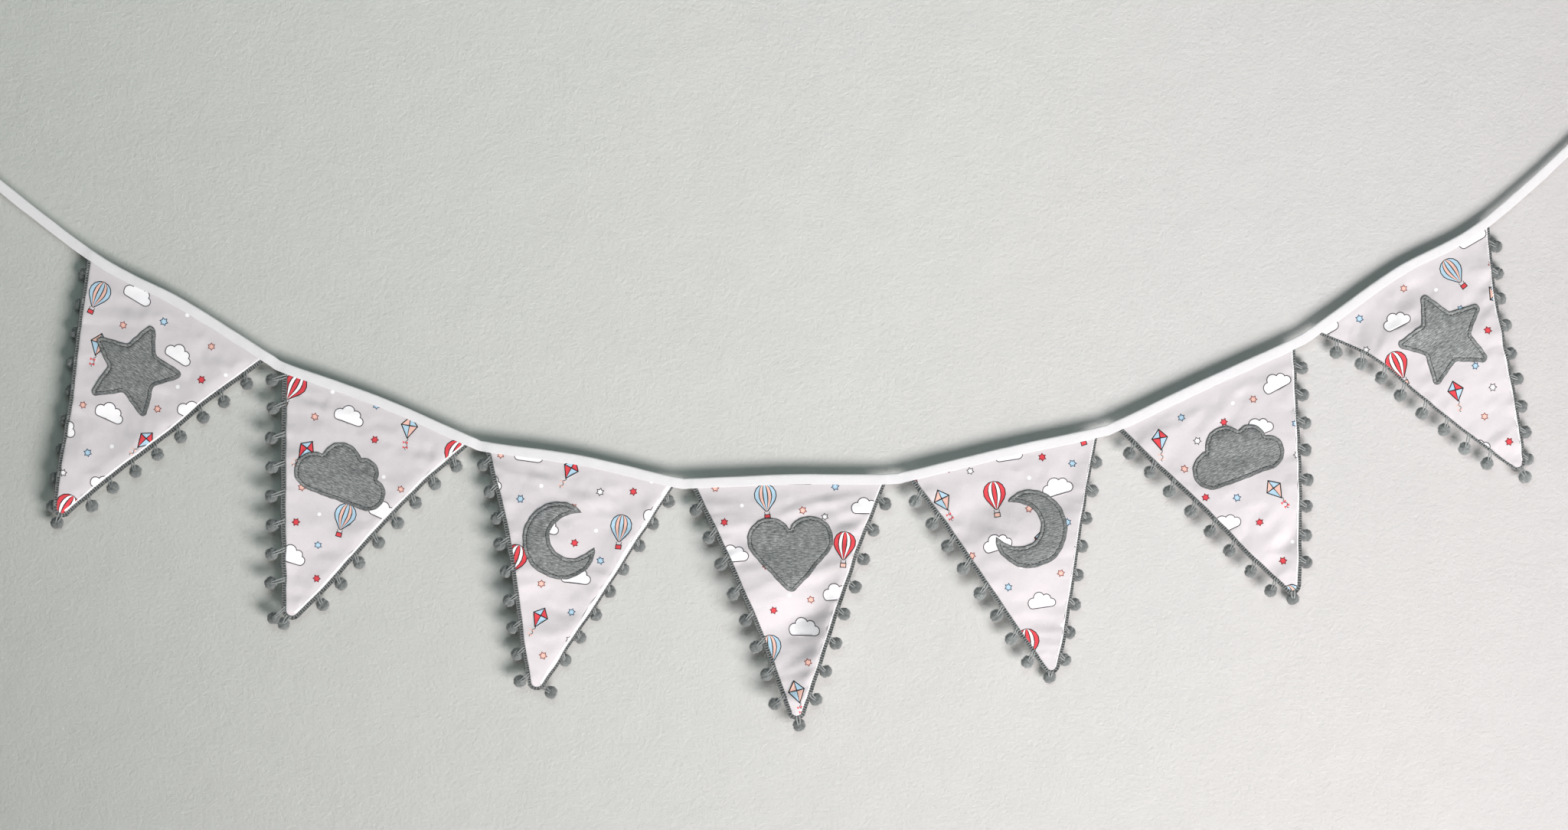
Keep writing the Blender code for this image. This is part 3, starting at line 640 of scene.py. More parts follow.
class Pennant:
    """The shape of one pennant: its outline, its own directions and how far each place stands out."""

    def __init__(self, number):
        self.number = number
        self.size = PENNANTS[number - 1]
        self.left = np.array((self.size["left_x"], self.size["left_z"]))
        self.right = np.array((self.size["right_x"], self.size["right_z"]))
        self.tip = np.array((self.size["tip_x"], self.size["tip_z"]))
        self.top = (self.left + self.right) / 2
        self.down = unit(self.tip - self.top)
        self.across = np.array((-self.down[1], self.down[0]))
        self.length = np.linalg.norm(self.tip - self.top)
        self.half_width = np.linalg.norm(self.right - self.left) / 2
        self.sides = {row["side"]: row for row in self.rows_of(SIDES)}
        self.folds = self.rows_of(FOLDS)
        self.creases = self.rows_of(CREASES)
        self.rolls = self.rows_of(ROLLS)
        self.patch = PATCHES[number - 1]
        self.route = self.side_route()
        self.lengths = lengths_along(self.route)
        self.soft = Waves(number, *SOFT_WAVES)
        self.fine = Waves(number + 20, *FINE_WAVES)
        self.sway = [Waves(number + 40 + axis, *SWAY_WAVES) for axis in range(2)]
        downwards = math.atan2(self.down[1], self.down[0])
        self.rumples = Waves(number + 90, *RUMPLE_WAVES, downwards, RUMPLE_SPREAD)
        self.patchy = Waves(number + 110, *PATCHY_WAVES)

    def rows_of(self, rows):
        return [row for row in rows if row["pennant"] == self.number]

    def side_points(self, side, corner, cut, steps):
        """Points down one long side, from the tape to where the rounded tip begins."""
        run = self.tip - corner
        length = np.linalg.norm(run)
        away = unit(np.array((run[1], -run[0])))
        if side == "right":
            away = -away
        bows = [0.0, *(self.sides[side][name] for name in ("bow_1", "bow_2", "bow_3")), 0.0]
        shares = [step / steps * (1 - cut / length) for step in range(steps + 1)]
        return np.array([corner + run * share + away * smooth_value(bows, share) for share in shares])

    def side_route(self, steps=64, tip_steps=14):
        """The line down the left side, round the tip and up the right side."""
        to_left, to_right = unit(self.left - self.tip), unit(self.right - self.tip)
        half_angle = math.acos(to_left @ to_right) / 2
        radius = self.size["tip_r"]
        cut = radius / math.tan(half_angle)
        left = self.side_points("left", self.left, cut, steps)
        right = self.side_points("right", self.right, cut, steps)[::-1]
        self.right_line = np.vstack([right[0] + unit(right[0] - right[1]) * PAST_TIP, right[::4]])
        centre = self.tip + unit(to_left + to_right) * radius / math.sin(half_angle)
        turn = 180 - 2 * math.degrees(half_angle)
        arc_points = [turned(left[-1] - centre, turn * step / tip_steps) for step in range(1, tip_steps)]
        arc_points = centre + unit(np.array(arc_points)) * radius
        return np.vstack([left, arc_points, right])

    def outline(self):
        """The cloth's outline: the two sides and the top edge, which is tucked into the tape."""
        sides = resample(self.route, EDGE_STEP)
        x = np.linspace(self.right[0], self.left[0], 60)
        middle, upwards = tape_at(x)
        return np.vstack([sides, middle + upwards * TUCK])

    def local(self, points):
        """How far across and down the pennant each point lies."""
        offsets = points - self.top
        return offsets @ self.across, offsets @ self.down

    def place(self, across, down):
        return self.top + self.across * across + self.down * down

    def hump(self, row, across, down):
        angle = math.radians(row["turn"])
        right, below = across - row["across"], down - row["down"]
        reach = right * math.cos(angle) - below * math.sin(angle)
        aside = right * math.sin(angle) + below * math.cos(angle)
        return row["height"] * np.exp(-((reach / row["length"]) ** 2) - (aside / row["width"]) ** 2)

    def stands_out(self, points):
        """How far the cloth's middle stands towards the viewer at each point."""
        across, down = self.local(points)
        share_down = np.clip(down / self.length, 0.0, 1.0)
        half_width = np.maximum(TIP_HALF_WIDTH, self.half_width * (1 - share_down))
        share_right = np.clip(0.5 + 0.5 * across / half_width, 0.0, 1.0)
        side_lift = self.size["left_lift"] * (1 - share_right) ** 2 + self.size["right_lift"] * share_right**2
        out = 4 * share_down * (1 - share_down) * side_lift + self.size["tip_lift"] * share_down**1.5
        for row in self.folds:
            out = out + self.hump(row, across, down)
        out = out + self.relief(points, across, down)
        for row in self.rolls:
            inset = inset_from(points, self.right_line)
            out = out - row["back"] * np.maximum(0.0, 1 - inset / row["width"]) ** 2
        return out * free_of_tape(points)

    def relief(self, points, across, down):
        """The cloth's slight unevenness, its fine creases and the puckers along its seams."""
        out = SOFT_HEIGHT * self.soft(points) + FINE_HEIGHT * self.fine(points)
        strength = RUMPLES[self.number - 1] * smoothstep(0.6 + 0.5 * self.patchy(points))
        out = out + strength * self.rumples(points)
        for row in self.creases:
            out = out + self.hump(row, across, down)
        middle = len(self.route) // 2
        for seed, side in ((0, self.route[: middle + 1 : 3]), (50, self.route[middle::3])):
            gaps, places = nearest_on(points, side)
            out = out + puckers(SEAM_PUCKERS, self.number + seed, gaps, places)
            out = out + puckers(WIDE_PUCKERS, self.number + seed + 9, gaps, places)
        from_tape = np.maximum(below_tape(points) - RAMP_START, 0.0)
        return out + puckers(TAPE_PUCKERS, self.number + 5, from_tape, across)

    def sways(self, points):
        """The points, moved a little within the cloth so that no edge is quite straight."""
        free = free_of_tape(points)[:, None]
        return points + SWAY * free * np.column_stack([wave(points) for wave in self.sway])

    def solid(self, points, behind):
        """The points in space, in metres, with each set behind the cloth's middle by a distance."""
        moved = self.sways(points)
        depth = behind - self.stands_out(points)
        return np.column_stack([moved[:, 0], depth, moved[:, 1]]) * MM

    def patch_outline(self):
        """The patch's outline on this pennant."""
        shape = turned(PATCH_SHAPES[self.patch["shape"]](), self.patch["turn"]) * self.patch["size"]
        centre = self.place(self.patch["across"], self.patch["down"])
        return centre + shape[:, :1] * self.across - shape[:, 1:] * self.down


def arc(centre, radius, start, end, steps):
    """Points on an arc that turns anticlockwise from one angle to the other."""
    turn = (end - start) % (2 * math.pi)
    angles = start + turn * np.arange(steps + 1) / steps
    return np.asarray(centre) + radius * np.column_stack([np.cos(angles), np.sin(angles)])


def outline_round(circles, steps):
    """The outline of circles in a ring, anticlockwise. Two that cross meet in a notch, and two that
    don't are joined by a straight line that touches both."""
    leaves, enters = [], []
    for (x0, y0, r0), (x1, y1, r1) in zip(circles, circles[1:] + circles[:1]):
        gap = math.hypot(x1 - x0, y1 - y0)
        heading = math.atan2(y1 - y0, x1 - x0)
        if gap < r0 + r1 and abs(r0 - r1) < gap:
            leaves.append(heading - math.acos((gap**2 + r0**2 - r1**2) / (2 * gap * r0)))
            enters.append(heading + math.pi + math.acos((gap**2 + r1**2 - r0**2) / (2 * gap * r1)))
        else:
            touch = heading - math.acos((r0 - r1) / gap)
            leaves.append(touch)
            enters.append(touch)
    arcs = []
    for index, (x, y, radius) in enumerate(circles):
        arcs.append(arc((x, y), radius, enters[index - 1], leaves[index], steps))
    return np.vstack(arcs)


def rounded(corners, radius, steps):
    """A polygon, anticlockwise, with its corners rounded."""
    points = []
    for before, corner, after in zip(np.roll(corners, 1, axis=0), corners, np.roll(corners, -1, axis=0)):
        to_before, to_after = unit(before - corner), unit(after - corner)
        half = math.acos(to_before @ to_after) / 2
        centre = corner + unit(to_before + to_after) * radius / math.sin(half)
        start = corner + to_before * radius / math.tan(half) - centre
        turn = 180 - 2 * math.degrees(half)
        if to_before[0] * to_after[1] - to_before[1] * to_after[0] > 0:
            turn = -turn
        points += [centre + turned(start, turn * step / steps) for step in range(steps + 1)]
    return np.array(points)


def star_corners(outer, inner, points, lower=0.0):
    angles = math.pi / 2 + math.pi * np.arange(2 * points) / points
    radii = np.where(np.arange(2 * points) % 2, inner, outer)
    return np.column_stack([np.cos(angles), np.sin(angles) - lower]) * radii[:, None]


def star_shape():
    """A five-pointed star one unit high with rounded points."""
    return rounded(star_corners(0.6, 0.29, 5, lower=0.04), 0.05, 6)


def cloud_shape():
    """A cloud of four puffs on a flat bottom, one unit high."""
    puffs = [(0.5, -0.2, 0.3), (0.3, 0.1, 0.27), (-0.14, 0.14, 0.36), (-0.52, -0.16, 0.34)]
    return outline_round(puffs, 14)


def heart_shape():
    """A heart one unit high with a rounded point."""
    return outline_round([(0.0, -0.41, 0.09), (0.27, 0.2, 0.3), (-0.27, 0.2, 0.3)], 16)


def moon_shape():
    """A crescent one unit high with blunt horns, open to the right."""
    middle_radius, half_width, horn = 0.36, 0.165, math.radians(38)
    shares = np.linspace(0.0, 1.0, 61)
    angles = horn + (2 * math.pi - 2 * horn) * shares
    halves = half_width * (4 * shares * (1 - shares)) ** 0.8
    spokes = np.column_stack([np.cos(angles), np.sin(angles)])
    outer = spokes * (middle_radius + halves)[:, None]
    inner = spokes * (middle_radius - halves)[:, None]
    return np.vstack([outer, inner[-2:0:-1]])


PATCH_SHAPES = {"star": star_shape, "cloud": cloud_shape, "heart": heart_shape, "moon": moon_shape}


def drop_shape(size, inset):
    """A hot-air balloon's envelope, drawn in all round by an inset."""
    circles = ((-0.24, 0.07), (0.15, 0.31))
    return outline_round([(0.0, up * size, radius * size - inset) for up, radius in circles], 10)


def star_motif(size, colour):
    """A six-pointed star with a line of its own colour round it, with size as its radius."""
    return [
        (f"line_{colour}", star_corners(size, size * 0.62, 6)),
        (colour, star_corners(size * 0.66, size * 0.4, 6)),
    ]


def dot_motif(size, colour):
    return [(colour, arc((0.0, 0.0), size, 0.0, 2 * math.pi * 11 / 12, 11))]


def cloud_motif(size, colour):
    """A flat-bottomed cloud of puffs, with size as its width."""
    puffs = (
        (0.33, -0.1, 0.17), (0.19, 0.06, 0.17), (-0.08, 0.1, 0.22), (-0.31, -0.06, 0.2), (-0.34, -0.12, 0.15),
    )
    outer = [(x * size, y * size, r * size) for x, y, r in puffs]
    inner = [(x, y, r - LINE) for x, y, r in outer]
    return [("line_white", outline_round(outer, 7)), (colour, outline_round(inner, 7))]


def balloon_motif(size, colour):
    """A striped hot-air balloon with its basket, with size as its height."""
    other, basket = ("white", "peach") if colour == "red" else ("peach", "red")
    low, high = -0.46 * size, -0.3 * size
    parts = []
    for side in (-1, 1):
        rope = [(side * 0.07 * size, high - 0.2), (side * 0.05 * size, low + 1.8)]
        parts.append(("line", stroke(np.array(rope), THIN_LINE)))
    parts += [("line", drop_shape(size, 0.0)), (colour, drop_shape(size, LINE))]
    for width, ink in ((0.62, "line"), (0.53, other), (0.26, "line"), (0.16, colour)):
        parts.append((ink, drop_shape(size, 0.6 * LINE) * np.array([width, 1.0])))
    for ink, inset in (("line", 0.0), (basket, 1.5)):
        parts.append((ink, box_corners(0.0, low + 0.7, 0.17 * size - inset, 0.13 * size - inset)))
    return parts


def kite_motif(size, colour):
    """A kite in two colours with a tail of bows, with size as its height."""
    other, bows = ("peach", "red") if colour == "blue" else ("blue", "peach")
    places = ((0.0, 0.5), (0.0, -0.12), (-0.23, 0.24), (0.23, 0.24), (0.0, 0.24))
    top, bottom, left, right, middle = (np.array(place) * size for place in places)
    corners = np.array([bottom, right, top, left])
    centre = corners.mean(axis=0)
    tail = [(0.035 * math.sin(step * 1.25), -0.12 - 0.36 * step / 10) for step in range(11)]
    tail = np.array(tail) * size
    parts = [("line", stroke(tail, THIN_LINE))]
    for step in (4, 8):
        for side in (-1, 1):
            bow = np.array([(0.0, 0.0), (0.075 * side, 0.04), (0.075 * side, -0.04)]) * size
            parts.append((bows, tail[step] + bow))
    parts.append(("line", centre + (corners - centre) * 1.13))
    quarters = ((right, top), (top, left), (left, bottom), (bottom, right))
    for (first, last), ink in zip(quarters, (colour, other, colour, other)):
        parts.append((ink, shrunk(np.array([middle, first, last]), 0.35)))
    return parts


def stroke(points, half_width):
    """The outline of a thin line through the points."""
    runs = unit(np.gradient(points, axis=0))
    sides = outwards(runs) * half_width
    return np.vstack([points + sides, (points - sides)[::-1]])


def box_corners(x, y, width, height):
    return np.array([(-0.5, -0.5), (0.5, -0.5), (0.5, 0.5), (-0.5, 0.5)]) * (width, height) + (x, y)


def shrunk(corners, inset):
    """A triangle or polygon drawn in towards its middle by about the inset."""
    centre = corners.mean(axis=0)
    reach = np.linalg.norm(corners - centre, axis=1, keepdims=True)
    return centre + (corners - centre) * (1 - 2 * inset / reach)


MOTIFS = {
    "star": star_motif,
    "dot": dot_motif,
    "cloud": cloud_motif,
    "balloon": balloon_motif,
    "kite": kite_motif,
}


def anticlockwise(points):
    following = np.roll(points, -1, axis=0)
    area = (points[:, 0] * following[:, 1] - following[:, 0] * points[:, 1]).sum()
    return points if area > 0 else points[::-1]


def printed(pennant):
    """The ink and outline of everything printed on this pennant, lowest layer first."""
    cut_across, cut_up = CUTS[pennant.number - 1]
    found = []
    for row in PRINT:
        for columns in range(-2, 3):
            for rows in range(-3, 3):
                across = row["across"] + columns * REPEAT[0] - cut_across
                down = cut_up - row["up"] - rows * REPEAT[1]
                if abs(across) > pennant.half_width + 20 or not -20 < down < pennant.length + 20:
                    continue
                for ink, shape in MOTIFS[row["motif"]](row["size"], row["colour"]):
                    shape = turned(shape, row["turn"])
                    places = pennant.top + (across + shape[:, :1]) * pennant.across
                    places = places + (down - shape[:, 1:]) * pennant.down
                    found.append((ink, anticlockwise(places)))
    return found


def lining_and_highlight_strip(pennant):
    """The outline of the white strip along the right edge: lining that shows there, and a painted highlight.
    """
    route = pennant.right_line[1:]
    lengths = lengths_along(route)
    widths = np.interp(lengths, (0.0, lengths[-1]), LINING_AND_HIGHLIGHT_WIDTHS[pennant.number - 1])
    height, ripple_lengths = LINING_AND_HIGHLIGHT_RIPPLES
    widths = widths * (1 + height * ripples(pennant.number + 30, lengths, ripple_lengths))
    aside = outwards(unit(np.gradient(route, axis=0)))
    return np.vstack([route + aside, (route - aside * widths[:, None])[::-1]])


def hexagons(outline, pitch, clear):
    """Evenly spread points inside an outline, at least clear away from it."""
    low, high = outline.min(axis=0), outline.max(axis=0)
    rows = np.arange(low[1], high[1], pitch * math.sqrt(0.75))
    points = []
    for index, z in enumerate(rows):
        x = np.arange(low[0] + (index % 2) * pitch / 2, high[0], pitch)
        points.append(np.column_stack([x, np.full(len(x), z)]))
    points = np.vstack(points)
    points = points[inside(points, outline)]
    return points[nearest_on(points, closed(outline))[0] > clear]


def rings_inside(route, runs, outline, insets):
    """Points inside the outline, at each inset from a route along it."""
    found = []
    for inset in insets:
        ring = route - outwards(runs) * inset
        ring = ring[inside(ring, outline)]
        found.append(ring[nearest_on(ring, closed(outline))[0] > 0.93 * inset])
    return found


def fill(outline, free, shapes=()):
    """Triangles inside the outline that also follow each shape: points, triangles and, for each
    triangle, the number of the last shape that it lies in."""
    loops = [outline, *shapes]
    faces, points, count = [], [], 0
    for loop in loops:
        faces.append(list(range(count, count + len(loop))))
        points.append(loop)
        count += len(loop)
    points = np.vstack([*points, free])
    result = delaunay_2d_cdt([Vector(point) for point in points.tolist()], [], faces, 1, 1e-4)
    made, triangles, origins = result[0], result[2], result[5]
    kept = [(face, max(origin)) for face, origin in zip(triangles, origins) if 0 in origin]
    corners = np.array([face for face, _ in kept])
    tops = np.array([top - 1 for _, top in kept])
    used, corners = np.unique(corners, return_inverse=True)
    return np.array([tuple(made[index]) for index in used]), corners.reshape(-1, 3), tops


def flat_area(points, triangles):
    a, b, c = (points[triangles[:, corner]] for corner in range(3))
    return abs((b - a)[:, 0] * (c - a)[:, 1] - (b - a)[:, 1] * (c - a)[:, 0]).sum() / 2


def make_object(name, points, faces, materials, slots=None):
    """A new smooth-shaded object, in metres."""
    mesh = bpy.data.meshes.new(name)
    mesh.from_pydata(np.asarray(points).tolist(), [], [list(face) for face in faces])
    obj = bpy.data.objects.new(name, mesh)
    bpy.context.scene.collection.objects.link(obj)
    for material in materials:
        mesh.materials.append(material)
    if slots is not None:
        mesh.polygons.foreach_set("material_index", np.asarray(slots, dtype=np.int32))
    mesh.polygons.foreach_set("use_smooth", np.ones(len(mesh.polygons), dtype=bool))
    mesh.update()
    return obj


def corner_points(mesh):
    corners = np.empty(len(mesh.loops), dtype=np.int32)
    mesh.loops.foreach_get("vertex_index", corners)
    return corners


def add_flat_places(obj, flat):
    """A UV map that gives each point's place on the flat cloth, in metres."""
    layer = obj.data.uv_layers.new(name="flat")
    layer.data.foreach_set("uv", (flat[corner_points(obj.data)] * MM).ravel().astype(np.float32))


def add_colours(obj, name, domain, colours):
    layer = obj.data.color_attributes.new(name, "FLOAT_COLOR", domain)
    values = np.column_stack([colours, np.ones(len(colours))])
    layer.data.foreach_set("color", values.ravel().astype(np.float32))


def add_tones(obj, tones):
    """How pale each point is: its material's colour is multiplied by this, painted shade and light included.
    """
    add_colours(obj, "tone", "POINT", np.column_stack([tones] * 3))


def puff(gap):
    """Half the thickness of a pennant at a distance from its seam."""
    t = np.clip(gap / PUFF_EDGE, 0.0, 1.0)
    return SEAM + (PUFF - SEAM) * np.sqrt(np.maximum(1 - (1 - t) ** 2, 0.0))


def quads_between(rows, columns, ring=False):
    """The faces of a grid of points, or of rings of points that close into a tube."""
    here = np.arange(columns if ring else columns - 1)[None]
    after = (here + 1) % columns
    steps = np.arange(rows - 1)[:, None] * columns
    quads = (steps + here, steps + after, steps + columns + after, steps + columns + here)
    return np.stack(quads, axis=-1).reshape(-1, 4)


class Shape:
    """Points, faces, material numbers and tones that are gathered from many small parts."""

    def __init__(self):
        self.points, self.faces, self.slots, self.tones = [], [], [], []
        self.count = 0

    def add(self, points, faces, slot=0, tones=1.0):
        self.points.append(points)
        self.faces += (np.asarray(faces) + self.count).tolist()
        self.slots += [slot] * len(faces)
        self.tones.append(np.broadcast_to(tones, len(points)))
        self.count += len(points)

    def add_tube(self, path, radii, sides, slot=0, tones=1.0):
        """A round tube along a path in space."""
        runs = unit(np.gradient(path, axis=0))
        aside = unit(np.cross(runs, np.array((0.12, 1.0, 0.07))))
        upright = np.cross(aside, runs)
        angles = 2 * math.pi * np.arange(sides) / sides
        radii = np.broadcast_to(radii, len(path))[:, None, None]
        tones = np.repeat(np.broadcast_to(tones, len(path)), sides)
        right, up = (values[None, :, None] for values in (np.cos(angles), np.sin(angles)))
        points = path[:, None] + radii * (right * aside[:, None] + up * upright[:, None])
        self.add(points.reshape(-1, 3), quads_between(len(path), sides, ring=True), slot, tones)

    def build(self, name, materials, with_tones=False):
        obj = make_object(name, np.vstack(self.points), self.faces, materials, self.slots)
        if with_tones:
            add_tones(obj, np.concatenate(self.tones))
        return obj


class Nodes:
    """A material's node tree, with short ways to add and join nodes."""

    def __init__(self, name):
        self.material = bpy.data.materials.new(name)
        self.material.use_nodes = True
        self.tree = self.material.node_tree
        self.shader = self.tree.nodes["Principled BSDF"]

    def add(self, kind, inputs=None, **settings):
        node = self.tree.nodes.new(kind)
        for key, value in settings.items():
            setattr(node, key, value)
        for key, value in (inputs or {}).items():
            self.set(node.inputs[key], value)
        return node

    def set(self, socket, value):
        if isinstance(value, bpy.types.NodeSocket):
            self.tree.links.new(value, socket)
        else:
            socket.default_value = value

    def math(self, operation, *values):
        node = self.add("ShaderNodeMath", dict(enumerate(values)), operation=operation)
        return node.outputs[0]

    def plus(self, first, second):
        return self.math("ADD", first, second)

    def by(self, first, second):
        return self.math("MULTIPLY", first, second)

    def flat_place(self):
        """Each point's place on the flat cloth, from its UV map."""
        return self.add("ShaderNodeUVMap", uv_map="flat").outputs[0]

    def place(self):
        return self.add("ShaderNodeTexCoord").outputs["Object"]

    def axes(self, vector):
        return self.add("ShaderNodeSeparateXYZ", {"Vector": vector}).outputs

    def attribute(self, name):
        return self.add("ShaderNodeAttribute", attribute_name=name).outputs["Color"]

    def noise(self, vector, scale, detail=3.0, roughness=0.5):
        inputs = {"Vector": vector, "Scale": scale, "Detail": detail, "Roughness": roughness}
        return self.add("ShaderNodeTexNoise", inputs).outputs["Fac"]

    def stretched(self, vector, scales):
        return self.add("ShaderNodeMapping", {"Vector": vector, "Scale": scales}).outputs[0]

    def between(self, value, low, high, start=0.0, end=1.0):
        """The value, which runs from start to end, set between low and high."""
        inputs = {"Value": value, "From Min": start, "From Max": end, "To Min": low, "To Max": high}
        return self.add("ShaderNodeMapRange", inputs).outputs[0]

    def times(self, colour, factor):
        return self.add("ShaderNodeVectorMath", {0: colour, 1: factor}, operation="MULTIPLY").outputs[0]

    def bump(self, height, strength, distance, after=None):
        inputs = {"Height": height, "Strength": strength, "Distance": distance}
        if after is not None:
            inputs["Normal"] = after
        return self.add("ShaderNodeBump", inputs).outputs[0]

    def finish(self, colour, normal, roughness, sheen, sheen_roughness=0.5):
        self.set(self.shader.inputs["Base Color"], colour)
        self.set(self.shader.inputs["Normal"], normal)
        self.shader.inputs["Roughness"].default_value = roughness
        self.shader.inputs["Specular IOR Level"].default_value = 0.3
        self.shader.inputs["Sheen Weight"].default_value = sheen
        self.shader.inputs["Sheen Roughness"].default_value = sheen_roughness
        return self.material


def woven(name, colour, attribute=None, pitch=0.42, sheen=0.2):
    """Plain-woven cotton, with a thread's pitch in millimetres."""
    nodes = Nodes(name)
    flat = nodes.flat_place()
    axes = nodes.axes(flat)
    pace = math.pi / (pitch * MM)
    warp, weft = (nodes.math("SINE", nodes.by(axes[axis], pace)) for axis in "XY")
    weave = nodes.by(warp, weft)
    along_weft, along_warp = (160.0, 1500.0, 1.0), (1500.0, 160.0, 1.0)
    slubs = [nodes.noise(nodes.stretched(flat, scales), 1.0) for scales in (along_weft, along_warp)]
    slubs = nodes.plus(*slubs)
    crinkle = nodes.noise(flat, 260.0, 4.0, 0.6)
    normal = nodes.bump(weave, 0.35, 0.00012)
    normal = nodes.bump(slubs, 0.35, 0.0002, normal)
    normal = nodes.bump(crinkle, 0.3, 0.0006, normal)
    if attribute:
        colour = nodes.attribute(attribute)
    tone = nodes.between(slubs, 0.9, 1.06)
    patchy = nodes.between(nodes.noise(flat, 22.0), 0.96, 1.03)
    return nodes.finish(nodes.times(nodes.times(colour, tone), patchy), normal, 0.9, sheen)


def jersey(name):
    """Grey marl jersey: streaked across, with fine upright ribs of knit."""
    nodes = Nodes(name)
    flat = nodes.flat_place()
    axes = nodes.axes(flat)
    rows = nodes.math("SINE", nodes.by(axes["Y"], 2 * math.pi / (KNIT_ROW * MM)))
    columns = nodes.by(axes["X"], 2 * math.pi / (KNIT_COLUMN * MM))
    knit = nodes.math("SINE", nodes.plus(columns, nodes.by(rows, 0.9)))
    broad = nodes.noise(nodes.stretched(flat, (190.0, 1150.0, 1.0)), 1.0, 4.0, 0.6)
    thin = nodes.noise(nodes.stretched(flat, (480.0, 2400.0, 1.0)), 1.0, 2.0, 0.6)
    marl = nodes.plus(nodes.by(broad, 0.65), nodes.by(thin, 0.35))
    ramp = nodes.add("ShaderNodeValToRGB", {"Fac": marl})
    dark, middle, pale = (0.075, 0.084, 0.082, 1), (0.19, 0.203, 0.199, 1), (0.41, 0.424, 0.42, 1)
    stops = ((0.37, dark), (0.49, middle), (0.62, pale))
    ramp.color_ramp.elements.new(0.5)
    for element, (place, colour) in zip(ramp.color_ramp.elements, stops):
        element.position = place
        element.color = colour
    normal = nodes.bump(knit, 0.5, 0.00022)
    normal = nodes.bump(marl, 0.6, 0.0008, normal)
    colour = nodes.times(ramp.outputs["Color"], nodes.attribute("tone"))
    return nodes.finish(colour, normal, 0.95, 0.25)


def yarn(name, colour, attribute=None, scale=1400.0, bump=0.5, sheen=0.35):
    """Soft yarn whose tone varies from place to place."""
    nodes = Nodes(name)
    place = nodes.place()
    fibres = nodes.noise(place, scale, 3.0, 0.65)
    clumps = nodes.noise(place, 320.0, 2.0)
    tone = nodes.by(nodes.between(fibres, 0.72, 1.28), nodes.between(clumps, 0.85, 1.15))
    if attribute:
        colour = nodes.times(nodes.attribute(attribute), colour)
    normal = nodes.bump(fibres, bump, 0.0005)
    return nodes.finish(nodes.times(colour, tone), normal, 1.0, sheen, 0.6)


def make_materials():
    return {
        "print": woven("printed_cotton_weave", None, attribute="print"),
        "back": woven("plain_cotton_weave", (0.84, 0.825, 0.83)),
        "tape": woven("tape_cotton_weave", (0.737, 0.73, 0.736), pitch=0.36, sheen=0.1),
        "jersey": jersey("marl_jersey_knit"),
        "thread": yarn("dark_thread", (0.03, 0.033, 0.034), scale=2500.0, sheen=0.1),
        "braid": yarn("braid_yarn", (0.36, 0.385, 0.378), attribute="tone"),
        "pompom": yarn("pompom_fibres", (0.185, 0.205, 0.2), attribute="tone", bump=0.7, sheen=0.4),
    }


def lay_flat(obj, pennant, points, triangles):
    """Gives a sheet on a pennant its places on the flat cloth. Returns its flat size and its area."""
    across, down = pennant.local(points)
    add_flat_places(obj, np.column_stack([across, down]))
    size = (float(np.ptp(across)) * MM, float(np.ptp(down)) * MM)
    return size, flat_area(points, triangles) * MM * MM


def make_panels(pennant, materials):
    """The printed front and the plain back, closed along their seam."""
    outline = pennant.outline()
    sides = resample(pennant.route, EDGE_STEP)
    rings = rings_inside(sides, unit(np.gradient(sides, axis=0)), outline, EDGE_RINGS)
    # The white strip painted over the print along the right edge is partly lining, partly painted highlight.
    patterns = [*printed(pennant), ("white", anticlockwise(lining_and_highlight_strip(pennant)))]
    name = f"pennant_{pennant.number}"
    for layer, cell, sign in (("front", FRONT_CELL, -1.0), ("back", BACK_CELL, 1.0)):
        free = np.vstack([*rings, hexagons(outline, cell, EDGE_RINGS[-1] + 0.6 * cell)])
        shapes = [shape for _, shape in patterns] if layer == "front" else []
        points, triangles, tops = fill(outline, free, shapes)
        gaps, _ = nearest_on(points, pennant.route)
        places = pennant.solid(points, sign * puff(gaps))
        faces = triangles if layer == "front" else triangles[:, ::-1]
        material = materials["print" if layer == "front" else "back"]
        obj = make_object(f"{name}_{layer}_cloth", places, faces, [material])
        if layer == "front":
            inks = np.array([INKS["ground"], *(INKS[ink] for ink, _ in patterns)])
            add_colours(obj, "print", "CORNER", np.repeat(inks[tops + 1], 3, axis=0))
        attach(obj, "root")
        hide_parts(f"{name}_{layer}")
        size, area = lay_flat(obj, pennant, points, triangles)


def make_patch(pennant, materials):
    """The jersey patch with its raw edge, and the running stitch that holds it."""
    name = f"pennant_{pennant.number}"
    outline = resample(closed(anticlockwise(pennant.patch_outline())), PATCH_STEP)[:-1]
    lengths = lengths_along(closed(outline))[:-1]
    height, ripple_lengths = PATCH_CUT
    cut = height * ripples(pennant.number + 60, lengths, ripple_lengths)
    outline = outline + outwards(runs_round(outline)) * cut[:, None]
    runs, whole = runs_round(outline), closed(outline)
    rings = rings_inside(outline, runs, outline, PATCH_RINGS)
    free = np.vstack([*rings, hexagons(outline, PATCH_CELL, PATCH_RINGS[-1] + 0.6)])
    points, triangles, _ = fill(outline, free)

    def rise(places):
        gaps, stations = nearest_on(places, whole)
        curl_height, curl_lengths = PATCH_CURL
        curl = curl_height * ripples(pennant.number + 70, stations, curl_lengths) + PATCH_CURL_UP
        curl = np.where(gaps > 0.05, curl * np.exp(-gaps / PATCH_CURL_REACH), 0.0)
        return np.interp(gaps, *PATCH_RISE) + curl

    places = pennant.solid(points, -(PATCH_LIFT + rise(points)))
    obj = make_object(f"{name}_jersey_patch", places, triangles, [materials["jersey"]])
    # Painted shade darkens the patch along its cut edge.
    rim = np.interp(nearest_on(points, whole)[0], *PATCH_EDGE_SHADE)
    add_tones(obj, rim * PATCH_TONES.get(pennant.number, 1.0))
    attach(obj, "root")
    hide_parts(f"{name}_patch")
    line = closed(rings_inside(outline, runs, outline, (STITCH_INSET,))[0])
    thread = make_stitches(pennant, line, rise, materials)
    size, area = lay_flat(obj, pennant, points, triangles)


